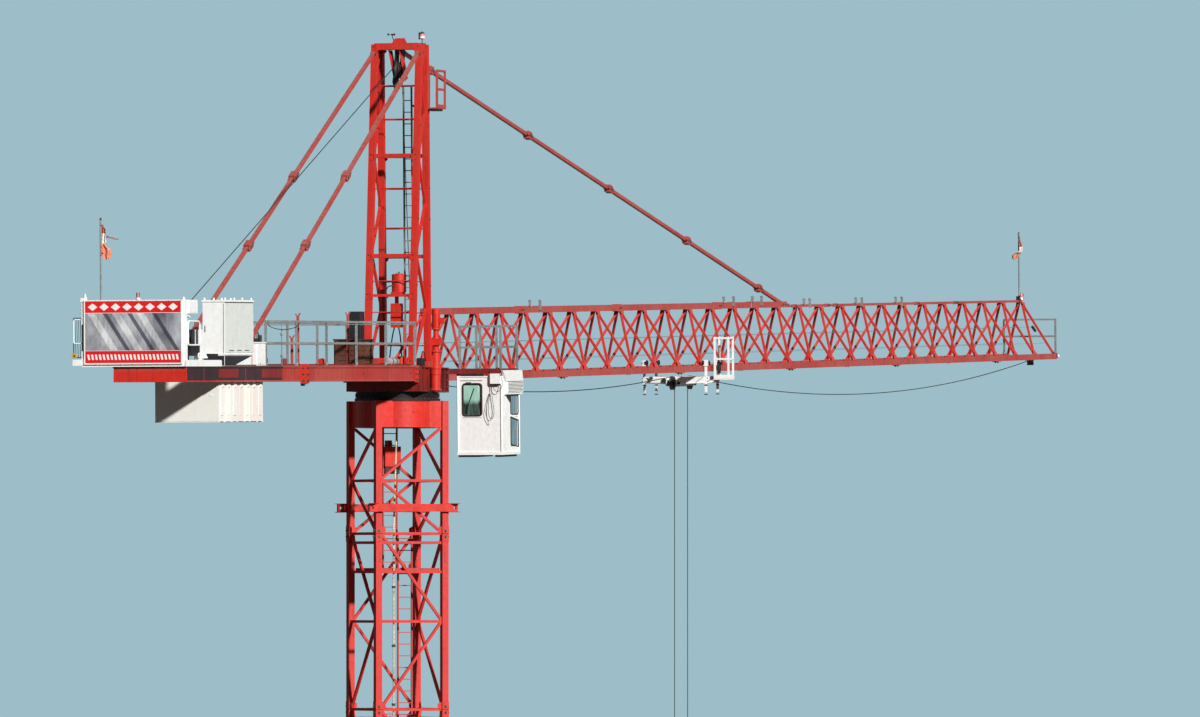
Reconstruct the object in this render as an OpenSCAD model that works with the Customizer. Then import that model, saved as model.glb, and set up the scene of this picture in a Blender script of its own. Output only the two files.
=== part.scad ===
// Half-size tower crane: bolted mast, slewing top with a tower head, tied jib and counter-jib, and a trolley
// with its hook. +X runs out along the jib, +Z is up, and the origin is on the ground at the slewing axis.

/* [Mast] */
// Distance between the centres of neighbouring corner legs
mast_spacing = 920; // [860:10:1000]
// Side of a square corner leg
mast_leg = 84; // [70:2:96]
// Height of one mast section
section_height = 2250; // [2000:10:2400]
// Number of whole mast sections
section_count = 6; // [3:1:6]
// Height of the short section below the slewing ring
top_section_height = 1700; // [1600:10:1800]
// Turn of the mast faces against the jib, in degrees
mast_turn = 42; // [30:1:60]
// Depth of the mast's square lattice bars
mast_bar = 34; // [26:1:40]
// Height of the round collar at the top of the mast
drum_height = 345; // [300:5:380]
// Outside diameter of the round collar, which bulges past the mast's faces
drum_diameter = 1060; // [1000:10:1080]
// Height of the mast's base cross
base_height = 160; // [140:5:200]

/* [Slewing top] */
// Outside diameter of the slewing ring
ring_diameter = 1060; // [1000:10:1100]
// Height of the slewing ring
ring_height = 115; // [100:1:130]
// Length of the platform behind the slewing axis
platform_rear = 525; // [500:5:560]
// Length of the platform ahead of the slewing axis
platform_front = 550; // [530:5:600]
// Width of the platform and of the counter-jib
platform_width = 950; // [930:5:980]
// Depth of the platform
platform_depth = 320; // [300:5:340]
// Plate thickness of the platform
platform_plate = 14; // [10:1:20]

/* [Tower head] */
// Height of the tower head above the deck
head_height = 4140; // [4000:10:4300]
// Distance between left and right legs
head_spacing = 604; // [580:2:630]
// Side of a square head leg
head_leg = 80; // [70:2:86]
// Reach of the rear legs behind the axis at the deck
head_rear_foot = 303; // [290:1:320]
// Reach of the rear legs behind the axis at the top
head_rear_top = 15; // [5:1:40]
// Reach of the front legs ahead of the axis at the deck
head_front_foot = 315; // [300:1:330]
// Reach of the front legs ahead of the axis at the top
head_front_top = 205; // [190:1:230]
// Thickness of the head's lattice bars
head_bar = 34; // [26:1:44]

/* [Jib] */
// Length of one lattice bay
bay_length = 990; // [900:5:1000]
// Number of lattice bays
bay_count = 28; // [8:1:28]
// Distance between the two bottom chords
chord_spacing = 740; // [700:5:780]
// Height of the top chord above the bottom chords
jib_height = 850; // [800:5:900]
// Side of a square chord
chord = 84; // [76:2:90]
// Side of the top chord beyond the tie
chord_slim = 36; // [32:2:44]
// Rise of the jib, in degrees
jib_rise = 1.6; // [1:0.1:2]
// Height of the bottom chords' centre below the deck, at the root
jib_root_drop = 130; // [120:1:140]
// Depth of the jib's lattice bars
jib_bar = 30; // [24:1:36]
// Reach along the jib to the tie's foot
tie_reach = 15650; // [15000:10:16000]
// Side of a tie bar
tie_bar = 44; // [38:2:50]

/* [Counter-jib] */
// Length of the counter-jib behind the platform
counter_length = 8480; // [8400:10:8600]
// Fall of the counter-jib towards its rear end, in degrees
counter_fall = 1; // [0.5:0.1:1.5]
// Depth of a side beam
beam_depth = 190; // [170:5:210]
// Width of a side beam
beam_width = 90; // [80:2:110]
// Height of the railings
railing_height = 560; // [520:10:600]
// Diameter of a railing tube
railing_tube = 26; // [20:1:32]
// Height of a ballast slab
ballast_height = 485; // [450:5:520]
// Width of a ballast slab
ballast_width = 830; // [800:5:860]
// Number of ballast slabs
ballast_count = 7; // [5:1:7]
// From the counter-jib's rear end to the rear ties' lugs
rear_tie_inset = 2405; // [2395:5:2415]
// Height of the rear ties' feet above the deck
rear_tie_height = 330; // [250:5:400]
// Length of the hoist winch's drum
drum_length = 550; // [500:5:560]
// Diameter of the hoist winch's drum
winch_diameter = 220; // [200:5:240]

/* [Cab] */
// Length of the cab
cab_length = 685; // [650:5:700]
// Width of the cab
cab_width = 595; // [570:5:620]
// Height of the cab
cab_height = 1015; // [980:5:1040]
// Thickness of the cab's walls
cab_wall = 24; // [18:1:30]

/* [Trolley] */
// Distance of the trolley's centre from the jib's root at rest
trolley_rest = 11070; // [9000:10:12000]
// Distance between front and rear posts
post_spacing = 510; // [480:5:540]
// Distance between left and right posts
trolley_width = 884; // [880:2:900]
// Side of a post
post = 30; // [26:1:34]
// Diameter of a rope sheave
sheave_diameter = 190; // [170:5:200]
// Diameter of the hoist rope
rope = 12; // [10:1:14]
// Length of the rope falls below the trolley
fall_length = 5100; // [4000:50:6000]

/* [Hidden] */
$fn = 32;
fit = 0.3;
rope_fit = 0.7;
red = [0.85, 0.16, 0.12];
dull_red = [0.66, 0.28, 0.26];
dark = [0.12, 0.12, 0.13];
pale = [0.92, 0.92, 0.88];
grey = [0.55, 0.58, 0.58];
mast_top = section_count * section_height + top_section_height;
ring_top = mast_top + ring_height;
deck = ring_top + platform_depth;
half_mast = mast_spacing / 2;
half_leg = mast_leg / 2;
half_head = head_spacing / 2;
half_platform = platform_width / 2;
half_chord = chord_spacing / 2;
jib_length = bay_count * bay_length;
jib_root = deck - jib_root_drop;
rear_lean = atan((head_rear_foot - head_rear_top) / head_height);
front_lean = atan((head_front_foot - head_front_top) / head_height);
side_tilt = atan(half_chord / jib_height);
side_length = sqrt(jib_height * jib_height + half_chord * half_chord);
side_node = chord / 2 / cos(side_tilt) + jib_bar * 0.4;
head_levels = [[40, 70], [1400, 50], [2690, 50], [head_height - 60, 84]];
beam_run = sqrt(2) * mast_spacing + 560;
cable = 22;
cable_inset = half_mast - mast_bar / 2 - cable / 2 - fit;
rest_plate = 10;
ladder_reach = 250;
ladder_past = 480;
ring_bore = 780;
hatch = 340;
deck_plate = 10;
deck_length = counter_length - 1240;
rear_tie_reach = counter_length - rear_tie_inset;
railing_inset = 1590;
railing_gap = 110;
crate_inset = 5840;
sheave_drop = -195;
sheave_reach = post_spacing / 2 + 123;
right_y = -half_chord - chord / 2 - 20 - cab_width;
head_sheave_diameter = 220;
head_sheave = [60, 0, deck + head_height - 330];
root_sheave = [platform_front + 130, 0, jib_root + 60];
winch_x = 555 - counter_length;
winch_axle = on_counter(winch_x, 330);
winch_left = 150;
anchor_x = jib_length - 80;

// Where a point of the counter-jib's frame lies in the part's frame
function on_counter(x, z) = [-platform_rear + x * cos(counter_fall) - z * sin(counter_fall), 0,
    deck + x * sin(counter_fall) + z * cos(counter_fall)];

// Where a point of the part's frame lies in the jib's frame, as x and z
function in_jib(p) = [(p[0] - platform_front) * cos(jib_rise) + (p[2] - jib_root) * sin(jib_rise),
    (p[2] - jib_root) * cos(jib_rise) - (p[0] - platform_front) * sin(jib_rise)];

// Distance of a rope's centre from the axle of its sheave
function rope_radius(diameter) = diameter / 2 - rope * 0.2 + rope_fit;

// The mast's own frame, turned against the jib
module on_mast() {
    rotate([0, 0, mast_turn])
        children();
}

// The jib's frame: x runs out along the bottom chords from the platform's front, z = 0 at their centres
module on_jib() {
    translate([platform_front, 0, jib_root])
        rotate([0, -jib_rise, 0])
            children();
}

// The counter-jib's frame: x is negative towards the rear, z = 0 at the top of the side beams
module on_counter_jib() {
    translate([-platform_rear, 0, deck])
        rotate([0, -counter_fall, 0])
            children();
}

// A box centred on x and y, standing on z = 0
module post_box(length, width, height) {
    translate([-length / 2, -width / 2, 0])
        cube([length, width, height]);
}

// A flat bar between two points of a drawing
module flat_bar(a, b, width) {
    run = sqrt(pow(b[0] - a[0], 2) + pow(b[1] - a[1], 2));
    translate(a)
        rotate(atan2(b[1] - a[1], b[0] - a[0]))
            translate([0, -width / 2])
                square([run, width]);
}

// A flat bar that runs on past both of its points by its own width
module long_bar(a, b, width) {
    past = width * (b - a) / norm(b - a);
    flat_bar(a - past, b + past, width);
}

// A round rod between two points
module rod(a, b, diameter, sides = 32) {
    d = b - a;
    run = norm(d);
    translate(a)
        rotate([0, acos(d[2] / run), atan2(d[1], d[0])])
            cylinder(h = run, d = diameter, $fn = sides);
}

// A sheave with a grooved rim, its axle along y
module sheave(diameter, width, hub) {
    rotate([90, 0, 0])
        rotate_extrude()
            polygon([[0, -hub / 2], [diameter * 0.18, -hub / 2], [diameter * 0.18, -width / 3],
                [diameter / 2, -width / 2], [diameter / 2 - rope * 0.7, 0], [diameter / 2, width / 2],
                [diameter * 0.18, width / 3], [diameter * 0.18, hub / 2], [0, hub / 2]]);
}

// Posts with a top and a middle rail along x, standing on z = 0
module railing_run(length, posts, height) {
    step = length / (posts - 1);
    for (i = [0 : posts - 1])
        translate([i * step, 0, 0])
            post_box(railing_tube, railing_tube, height - railing_tube / 2);
    for (level = [0.52 * height, height])
        translate([-railing_tube / 2, -railing_tube / 2, level - railing_tube])
            cube([length + railing_tube, railing_tube, railing_tube]);
}

// A tube swept along points of the x-z plane, with eight sides
module rope_tube(route, diameter) {
    n = len(route);
    sides = 8;
    rings = [for (i = [0 : n - 1])
        let (before = route[max(i - 1, 0)], after = route[min(i + 1, n - 1)], d = after - before,
            u = d / norm(d), normal = [-u[2], 0, u[0]])
        for (k = [0 : sides - 1])
            route[i] + diameter / 2 * (cos(360 * k / sides) * [0, 1, 0] + sin(360 * k / sides) * normal)];
    walls = [for (i = [0 : n - 2], k = [0 : sides - 1])
        let (on = (k + 1) % sides)
            [i * sides + k, i * sides + on, (i + 1) * sides + on, (i + 1) * sides + k]];
    polyhedron(rings, concat([[for (k = [sides - 1 : -1 : 0]) k]], walls,
        [[for (k = [0 : sides - 1]) (n - 1) * sides + k]]));
}

// Points of a rope that hangs with a given sag between two points
function hanging(a, b, sag, steps) =
    [for (i = [0 : steps]) let (t = i / steps) a + (b - a) * t - [0, 0, 4 * sag * t * (1 - t)]];

// Heights of the ends of the mast's diagonals, two to a section
function mast_levels() = concat(
    [for (i = [0 : section_count - 1], h = [0, 0.5])
        (i + h == 0 ? base_height : 0) + (i + h) * section_height],
    [section_count * section_height,
        (section_count * section_height + mast_top - drum_height) / 2, mast_top - drum_height]);

// Height of the top of a rest platform
function rest_level(i) = i * section_height - 490;

module mast_legs() {
    color(red)
        on_mast()
            for (x = [-1, 1], y = [-1, 1])
                translate([x * half_mast, y * half_mast, base_height])
                    post_box(mast_leg, mast_leg, mast_top - base_height);
}

// One side of the mast, drawn flat and stood up between two legs
module mast_side(turn) {
    clear = half_mast - half_leg;
    levels = mast_levels();
    joints = [for (i = [1 : section_count], level = [i * section_height - 115, rest_level(i)]) level];
    color(red)
        on_mast()
            rotate([0, 0, turn])
                translate([0, half_mast + mast_bar / 2, 0])
                    rotate([90, 0, 0])
                        linear_extrude(mast_bar)
                            intersection() {
                                translate([-clear, 0])
                                    square([2 * clear, mast_top - drum_height - fit]);
                                union() {
                                    for (z = concat([for (i = [0 : len(levels) - 2]) levels[i]], joints))
                                        translate([-clear, z == levels[0] ? z : z - mast_bar / 2])
                                            square([2 * clear, mast_bar]);
                                    for (i = [0 : len(levels) - 2])
                                        let (way = (i + (i < 2 * section_count ? 0 : 1)) % 2 == 0 ? 1 : -1)
                                            flat_bar([way * clear, levels[i] + mast_bar / 2],
                                                [-way * clear, levels[i + 1]], mast_bar);
                                }
                            }
}

module mast_side_front_left() {
    mast_side(270);
}

module mast_side_rear_left() {
    mast_side(0);
}

module mast_side_rear_right() {
    mast_side(90);
}

module mast_side_front_right() {
    mast_side(180);
}

// Two crossed beams on the ground with a bolted foot at each end
module base_cross() {
    color(red)
        on_mast()
            difference() {
                union() {
                    for (turn = [45, 135])
                        rotate([0, 0, turn])
                            post_box(beam_run, 130, base_height);
                    for (turn = [45 : 90 : 315])
                        rotate([0, 0, turn])
                            translate([beam_run / 2 - 110, 0, 0])
                                post_box(220, 260, 30);
                }
                for (turn = [45 : 90 : 315])
                    rotate([0, 0, turn])
                        translate([beam_run / 2 - 60, 0, -1])
                            cylinder(h = 32 + base_height, r = 18);
            }
}

// Floors inside the mast, each with a hatch for the ladder and a hole for the cable
module rest_platforms() {
    side = mast_spacing - mast_bar - 2 * fit;
    color(dark)
        on_mast()
            for (i = [1 : section_count])
                translate([0, 0, rest_level(i) - rest_plate])
                    difference() {
                        post_box(side, side, rest_plate);
                        for (x = [-1, 1], y = [-1, 1])
                            translate([x * half_mast, y * half_mast, -1])
                                post_box(mast_leg + 2 * fit, mast_leg + 2 * fit, rest_plate + 2);
                        translate([-ladder_side(i) * 190, 0, -1])
                            post_box(330, 520, rest_plate + 2);
                        translate([-cable_inset, half_mast / 2, -1])
                            cylinder(h = rest_plate + 2, d = cable + 2 * fit);
                    }
}

// The side of the mast that the ladder below a platform stands on
function ladder_side(i) = i % 2 == 0 ? 1 : -1;

module ladder(length, width) {
    for (y = [-1, 1])
        translate([0, y * width / 2, 0])
            post_box(20, 20, length);
    for (z = [120 : 150 : length - 60])
        translate([-6, -width / 2, z])
            cube([12, width, 12]);
}

// One flight to each section, with a pair of stays to the mast's nearest side
module mast_ladders() {
    width = 190;
    reach = half_mast - mast_bar / 2 - fit - ladder_reach;
    stay = 16;
    color(dark)
        on_mast()
            for (i = [0 : section_count])
                let (side = -ladder_side(i + 1), bottom = i == 0 ? 0 : rest_level(i),
                    top = i == section_count ? mast_top - 60 : rest_level(i + 1) + ladder_past) {
                    translate([side * ladder_reach, 0, bottom])
                        ladder(top - bottom, width);
                    if (i < section_count)
                        for (y = [-width / 2, width / 2])
                            translate([side * (ladder_reach + reach / 2), y,
                                (i + 0.5) * section_height - stay / 2])
                                post_box(reach, stay, stay);
                }
}

module climbing_lug_beams() {
    rise = 280;
    out = half_mast + half_leg;
    color(red)
        on_mast()
            for (turn = [90, 270])
                rotate([0, 0, turn])
                    translate([0, 0, mast_top - top_section_height + rise])
                        difference() {
                            translate([-out - 110, -out - 50, 0])
                                cube([2 * out + 220, 50, 100]);
                            for (x = [-1, 1])
                                translate([x * (out + 70), -out - 51, 50])
                                    rotate([-90, 0, 0])
                                        cylinder(h = 52, r = 20);
                        }
}

// A round wall that bulges past the mast's faces, joined to the legs by flat plates
module mast_top_drum() {
    wall = 20;
    plate = 16;
    lip = 3;
    color(red)
        translate([0, 0, mast_top - drum_height])
            difference() {
                union() {
                    cylinder(h = drum_height, d = drum_diameter, $fn = 64);
                    on_mast()
                        for (turn = [0 : 90 : 270])
                            rotate([0, 0, turn])
                                translate([-half_mast, half_mast - plate / 2, lip])
                                    cube([mast_spacing, plate, drum_height - 2 * lip]);
                }
                translate([0, 0, -1])
                    cylinder(h = drum_height + 2, d = drum_diameter - 2 * wall, $fn = 64);
                on_mast()
                    for (x = [-1, 1], y = [-1, 1])
                        translate([x * half_mast, y * half_mast, -1])
                            post_box(mast_leg, mast_leg, drum_height + 2);
            }
}

module slewing_ring() {
    flange = 25;
    color(dark)
        translate([0, 0, mast_top])
            difference() {
                union() {
                    cylinder(h = flange, d = ring_diameter + 40, $fn = 96);
                    cylinder(h = ring_height - fit, d = ring_diameter, $fn = 96);
                }
                translate([0, 0, -1])
                    cylinder(h = ring_height + 2, d = ring_bore, $fn = 96);
            }
}

// The supply cable, up the inside of the rear right face and in to the axis below the ring
module mast_cable() {
    turn_height = section_count * section_height + 60;
    color(pale)
        on_mast() {
            translate([-cable_inset, half_mast / 2, base_height])
                cylinder(h = turn_height - base_height, d = cable);
            rod([-cable_inset, half_mast / 2, turn_height - 10], [0, 0, mast_top - 40], cable);
        }
}

module platform_blank() {
    translate([-platform_rear, -half_platform, ring_top])
        cube([platform_rear + platform_front, platform_width, platform_depth]);
}

// An open box with a square hatch over the ring's bore, a web at each end and ribs along both sides
module slewing_platform() {
    inner = platform_width - 2 * platform_plate;
    length = platform_rear + platform_front;
    color(red) {
        difference() {
            platform_blank();
            translate([-platform_rear + platform_plate, -inner / 2, ring_top + platform_plate])
                cube([length - 2 * platform_plate, inner, platform_depth - 2 * platform_plate]);
            translate([0, 0, ring_top - 1])
                cylinder(h = platform_plate + 2, d = ring_bore, $fn = 64);
            translate([-hatch / 2, -hatch / 2, deck - platform_plate - 1])
                cube([hatch, hatch, platform_plate + 2]);
        }
        for (x = [-380 : 190 : 380], side = [-1, 1])
            translate([x - 7, side > 0 ? half_platform : -half_platform - 30, ring_top])
                cube([14, 30, platform_depth]);
    }
}

// The upright gear motor ahead and to the right of the head, with its pinion beside the ring
module slewing_motor() {
    color(red)
        translate([425, -375, deck]) {
            cylinder(h = 200, d = 115);
            translate([0, 0, 200])
                cylinder(h = 25, d = 150);
            translate([0, 0, 225])
                cylinder(h = 60, d = 90);
            translate([-70, -60, 285])
                cube([140, 120, 80]);
            translate([0, 0, 365])
                cylinder(h = 130, d = 70);
            translate([0, 0, 495])
                cylinder(h = 235, d = 105);
        }
}

// Two leaning legs and their cross bars in one flat frame
module head_frame(foot, lean, levels) {
    run = head_height / cos(lean);
    difference() {
        translate([foot, 0, deck])
            rotate([0, foot < 0 ? lean : -lean, 0]) {
                for (side = [-1, 1])
                    translate([0, side * half_head, -60])
                        post_box(head_leg, head_leg, run + 60);
                for (level = levels)
                    translate([-level[1] / 2, -half_head, level[0]])
                        cube([level[1], head_spacing, level[1]]);
            }
        translate([-head_rear_foot * 2, -platform_width, deck - 200])
            cube([head_rear_foot * 2 + head_front_foot * 2, platform_width * 2, 200]);
    }
}

module head_rear_frame() {
    color(red)
        head_frame(-head_rear_foot, rear_lean, concat([[900, head_bar]], head_levels));
}

module head_front_frame() {
    color(red)
        head_frame(head_front_foot, front_lean, head_levels);
}

// Zigzag bars between a rear and a front leg
module head_side(side) {
    edge = head_leg / 2 + head_bar * 0.4;
    function rear_x(z) = edge - head_rear_foot + z * tan(rear_lean);
    function front_x(z) = head_front_foot - edge - z * tan(front_lean);
    levels = [60, 760, 1460, 2100, 2700, 3250, 3760, head_height - 110];
    color(red)
        difference() {
            translate([0, side * half_head + head_bar / 2, deck])
                rotate([90, 0, 0])
                    linear_extrude(head_bar)
                        union() {
                            for (i = [0 : len(levels) - 2])
                                let (low = levels[i], high = levels[i + 1], even = i % 2 == 0)
                                    long_bar([even ? rear_x(low) : front_x(low), low],
                                        [even ? front_x(high) : rear_x(high), high], head_bar);
                            translate([rear_x(head_height) - edge, head_height - 90])
                                square([front_x(head_height) - rear_x(head_height) + 2 * edge, 90]);
                        }
            head_rear_frame();
            head_front_frame();
        }
}

module head_side_left() {
    head_side(1);
}

module head_side_right() {
    head_side(-1);
}

// The sheaves at the head and at the jib's root, and the block that anchors the rope at the tip
module rope_guides() {
    cheek = 16;
    hub = 60;
    color(dark) {
        difference() {
            union() {
                translate(head_sheave)
                    sheave(head_sheave_diameter, 40, hub - 2 * fit);
                for (side = [-1, 1])
                    translate(head_sheave + [0, side * (hub + cheek) / 2, 0])
                        rotate([0, 8, 0])
                            translate([-70, -cheek / 2, -90])
                                cube([140, cheek, 470]);
                translate([head_sheave[0] + 62, -half_head + head_bar / 2 + fit, deck + head_height - 60])
                    cube([30, head_spacing - head_bar - 2 * fit, 60]);
            }
            head_frame(-head_rear_foot, rear_lean, [[head_height - 60, 84]]);
            head_frame(head_front_foot, front_lean, [[head_height - 60, 84]]);
        }
        translate(root_sheave)
            sheave(sheave_diameter, 40, hub - 2 * fit);
        for (side = [-1, 1])
            translate([platform_front, side * (hub + cheek) / 2 - cheek / 2, root_sheave[2] - 40])
                cube([root_sheave[0] - platform_front + 40, cheek, 80]);
        on_jib()
            translate([anchor_x, -30, -90])
                cube([75, 60, 90 - jib_bar / 2]);
    }
}

module head_ladder() {
    color(dark)
        difference() {
            translate([190, -100, deck - 2])
                rotate([0, -1.5, 0])
                    ladder(head_height - 540, 110);
            platform_blank();
        }
}

// A standing place beside the front right leg
module head_service_cage() {
    floor_z = deck + head_height - 820;
    length = 325;
    width = 133;
    bar = 24;
    color(red)
        translate([200, -half_head - head_leg / 2 - width, floor_z]) {
            cube([length, width, 12]);
            for (x = [0, length - bar], y = [0, width - bar])
                translate([x, y, 12])
                    cube([bar, bar, 490]);
            for (z = [240, 478]) {
                translate([0, 0, z])
                    cube([length, bar, bar]);
                translate([length - bar, 0, z])
                    cube([bar, width, bar]);
            }
        }
}

// The small upright rope winch on the rear frame, with its motor hung below the arm that carries it
module service_winch() {
    color(red)
        difference() {
            union() {
                translate([-110, -60, deck + 960])
                    cylinder(h = 225, d = 185);
                translate([-255, -120, deck + 905])
                    cube([205, 120, 56]);
                translate([-130, -50, deck + 800])
                    cube([40, 40, 110]);
                translate([-150, -100, deck + 505])
                    cube([80, 140, 310]);
            }
            head_frame(-head_rear_foot, rear_lean, [[900, head_bar]]);
        }
}

// A tie made of square bars, with a thicker pinned knuckle at each joint
module tie_between(a, b, knuckles) {
    d = b - a;
    run = norm(d);
    translate(a)
        rotate([0, acos(d[2] / run), atan2(d[1], d[0])]) {
            translate([-tie_bar / 2, -tie_bar / 2, 0])
                cube([tie_bar, tie_bar, run]);
            for (t = knuckles)
                translate([-tie_bar * 1.1, -tie_bar * 0.9, t * run - 65])
                    cube([tie_bar * 2.2, tie_bar * 1.8, 130]);
        }
}

module front_tie() {
    foot = [platform_front + tie_reach * cos(jib_rise) - jib_height * sin(jib_rise), 0,
        jib_root + tie_reach * sin(jib_rise) + jib_height * cos(jib_rise)];
    top = [head_front_top + 5, 0, deck + head_height - 95];
    color(dull_red)
        difference() {
            tie_between(top, foot, [0.065, 0.31, 0.52, 0.73, 0.93]);
            jib_top_chord_blank();
            head_frame(head_front_foot, front_lean, [[40, 70], [head_height - 60, 84]]);
        }
}

// The pair of ties to the counter-jib, each with the upright lug that it ends on
module rear_ties() {
    foot_y = 415;
    lug = 20;
    foot = on_counter(-rear_tie_reach, rear_tie_height);
    color(dull_red)
        for (side = [-1, 1]) {
            difference() {
                tie_between([-60, side * half_head, deck + head_height - 110], foot + [0, side * foot_y, 0],
                    [0.44, 0.68]);
                head_frame(-head_rear_foot, rear_lean, [[head_height - 60, 84]]);
                head_side_left();
                head_side_right();
            }
            on_counter_jib()
                translate([-rear_tie_reach - 40, side * foot_y - lug / 2, deck_plate])
                    cube([80, lug, rear_tie_height + 25]);
        }
}

module counter_jib_beams() {
    color(red)
        difference() {
            on_counter_jib() {
                for (side = [-1, 1])
                    translate([-counter_length, side * (half_platform - beam_width / 2) - beam_width / 2,
                        -beam_depth])
                        cube([counter_length + 60, beam_width, beam_depth]);
                translate([-counter_length, -half_platform, -beam_depth])
                    cube([beam_width, platform_width, beam_depth]);
                for (x = [700 : 1075 : 5400])
                    translate([-x, -half_platform, -120])
                        cube([60, platform_width, 80]);
            }
            platform_blank();
        }
}

module counter_jib_deck() {
    color(grey)
        difference() {
            on_counter_jib()
                translate([-deck_length, -half_platform, 0])
                    cube([deck_length + 40, platform_width, deck_plate]);
            platform_blank();
        }
}

module counter_jib_railings() {
    color(grey)
        on_counter_jib()
            for (side = [-1, 1])
                translate([railing_inset - deck_length, side * (half_platform - railing_tube / 2),
                    deck_plate])
                    railing_run(deck_length - railing_inset - railing_gap, 6, railing_height);
}

module ballast_slabs() {
    pitch = 226;
    color(pale)
        on_counter_jib()
            for (i = [0 : ballast_count - 1])
                translate([30 - deck_length + i * pitch, -ballast_width / 2, -beam_depth - ballast_height])
                    cube([pitch - 8, ballast_width, ballast_height]);
}

module winch_frame() {
    rear_x = -counter_length - 40;
    left_y = half_platform + 400;
    color(pale)
        on_counter_jib() {
            for (x = [rear_x, rear_x + 700, rear_x + 1200])
                translate([x, -half_platform, 0])
                    cube([70, half_platform + left_y, 70]);
            for (y = [-half_platform, left_y - 70])
                translate([rear_x, y, 70])
                    cube([70, 70, 730]);
            translate([rear_x, -half_platform + 70, 740])
                cube([70, half_platform + left_y - 140, 60]);
            translate([rear_x, -half_platform, 0])
                cube([1270, 70, 70]);
        }
}

module winch_drum() {
    color(dark)
        translate([0, winch_left, 0])
            translate(winch_axle)
                rotate([90, 0, 0]) {
                    cylinder(h = drum_length, d = winch_diameter);
                    for (y = [0, drum_length - 20])
                        translate([0, 0, y])
                            cylinder(h = 20, d = winch_diameter + 80);
                }
}

// The gearbox and motor at the drum's left end, and the bearing stand at its right end
module winch_motor() {
    box_y = winch_left + fit;
    stand_y = winch_left - drum_length - fit;
    color(pale)
        on_counter_jib() {
            translate([winch_x - 165, box_y, 70])
                cube([330, 250, 420]);
            translate([winch_x, box_y + 620, 330])
                rotate([90, 0, 0])
                    cylinder(h = 370, d = 230);
            translate([winch_x - 75, -half_platform + 20, 70])
                cube([150, stand_y + half_platform - 20, 380]);
        }
}

module sign_board() {
    color([0.8, 0.1, 0.1])
        on_counter_jib()
            translate([-counter_length - 40 - 16, -half_platform + 40, 30])
                cube([16, 1270, 780]);
}

module electric_cabinets() {
    color(pale)
        on_counter_jib() {
            translate([115 - deck_length, -half_platform + 10, 10])
                cube([960, 280, 130]);
            translate([115 - deck_length, -half_platform + 5, 140])
                cube([1000, 290, 665]);
            translate([1220 - deck_length, -half_platform + 5, 10])
                cube([340, 120, 280]);
        }
}

module tool_crate() {
    color([0.42, 0.26, 0.14])
        on_counter_jib()
            translate([crate_inset - deck_length, -155, deck_plate])
                cube([525, 310, 320]);
}

module work_light() {
    color(dark)
        on_counter_jib() {
            translate([-700, 120, 10])
                post_box(60, 60, 330);
            translate([-700, 120, 340])
                post_box(150, 150, 360);
        }
}

module flag_poles() {
    color(grey) {
        on_counter_jib()
            translate([-counter_length - 5, 632, 800])
                cylinder(h = 990, d = 24);
        on_jib()
            translate([jib_length - bay_length / 2 - 60, 0, jib_height - chord / 2 + chord_slim])
                cylinder(h = 990, d = 24);
    }
}

module flags() {
    color([0.8, 0.3, 0.15]) {
        on_counter_jib()
            translate([-counter_length - 13, 620 - fit - 240, 1250])
                cube([16, 240, 470]);
        on_jib()
            translate([jib_length - bay_length / 2 - 68, 12 + fit, jib_height + 540])
                cube([16, 200, 300]);
    }
}

// The taut runs of the hoist rope, from the winch over the head's sheave and down to the jib's root
module hoist_rope() {
    head_r = rope_radius(head_sheave_diameter);
    root_r = rope_radius(sheave_diameter);
    back = head_sheave - winch_axle;
    up = [-back[2], 0, back[0]] / norm(back);
    down = root_sheave - head_sheave;
    turn = atan2(down[2], down[0]) - asin((head_r + root_r) / norm(down)) + 90;
    out = [cos(turn), 0, sin(turn)];
    color(dark) {
        rod(winch_axle + (winch_diameter / 2 + rope / 2 + fit) * up, head_sheave + head_r * up, rope, 8);
        rod(head_sheave + head_r * out, root_sheave - root_r * out, rope, 8);
    }
}

module cab_blank(inset) {
    top = 12;
    translate([555 + inset, right_y + inset, top - cab_height + inset])
        cube([cab_length - 2 * inset, cab_width - 2 * inset, cab_height - 2 * inset]);
}

module cab_shell() {
    color(pale)
        on_jib()
            difference() {
                cab_blank(0);
                cab_blank(cab_wall);
                cab_windows(1);
            }
}

// The window openings, or with a negative gap the panes in them
module cab_windows(gap) {
    // rear window
    translate([555 - gap, right_y + 274, -490])
        cube([cab_wall + 2 * gap, 246, 400]);
    // right side windows
    translate([555 + cab_length - 330, right_y - gap, -480])
        cube([290, cab_wall + 2 * gap, 380]);
    translate([555 + cab_length - 330, right_y - gap, -900])
        cube([290, cab_wall + 2 * gap, 390]);
    // front windows
    translate([555 + cab_length - cab_wall - gap, right_y + 50, -900])
        cube([cab_wall + 2 * gap, cab_width - 100, 800]);
}

module cab_glass() {
    inset = 8;
    color([0.3, 0.5, 0.5])
        on_jib()
            intersection() {
                cab_windows(0);
                difference() {
                    cab_blank(inset);
                    cab_blank(inset + 8);
                }
            }
}

module cab_hanger() {
    color(dull_red)
        on_jib() {
            for (x = [560, 1165]) {
                translate([x, right_y, chord / 2])
                    cube([70, cab_width + 20 + chord + chord_spacing, 64]);
                for (y = [-half_chord - chord / 2 - 60, -half_chord - chord / 2 - cab_width])
                    translate([x + 15, y, 12])
                        cube([40, 30, 30]);
            }
            translate([630, right_y, chord / 2 + 20])
                cube([535, cab_width, 10]);
        }
}

module cab_railing() {
    color(grey)
        on_jib()
            translate([0, 0, chord / 2 + 64]) {
                translate([573, right_y, 0])
                    rotate([0, 0, 90])
                        translate([13, 0, 0])
                            railing_run(cab_width - 40, 3, railing_height);
                translate([1222, right_y, 0])
                    rotate([0, 0, 90])
                        translate([13, 0, 0])
                            railing_run(cab_width - 40, 3, railing_height);
            }
}

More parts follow.
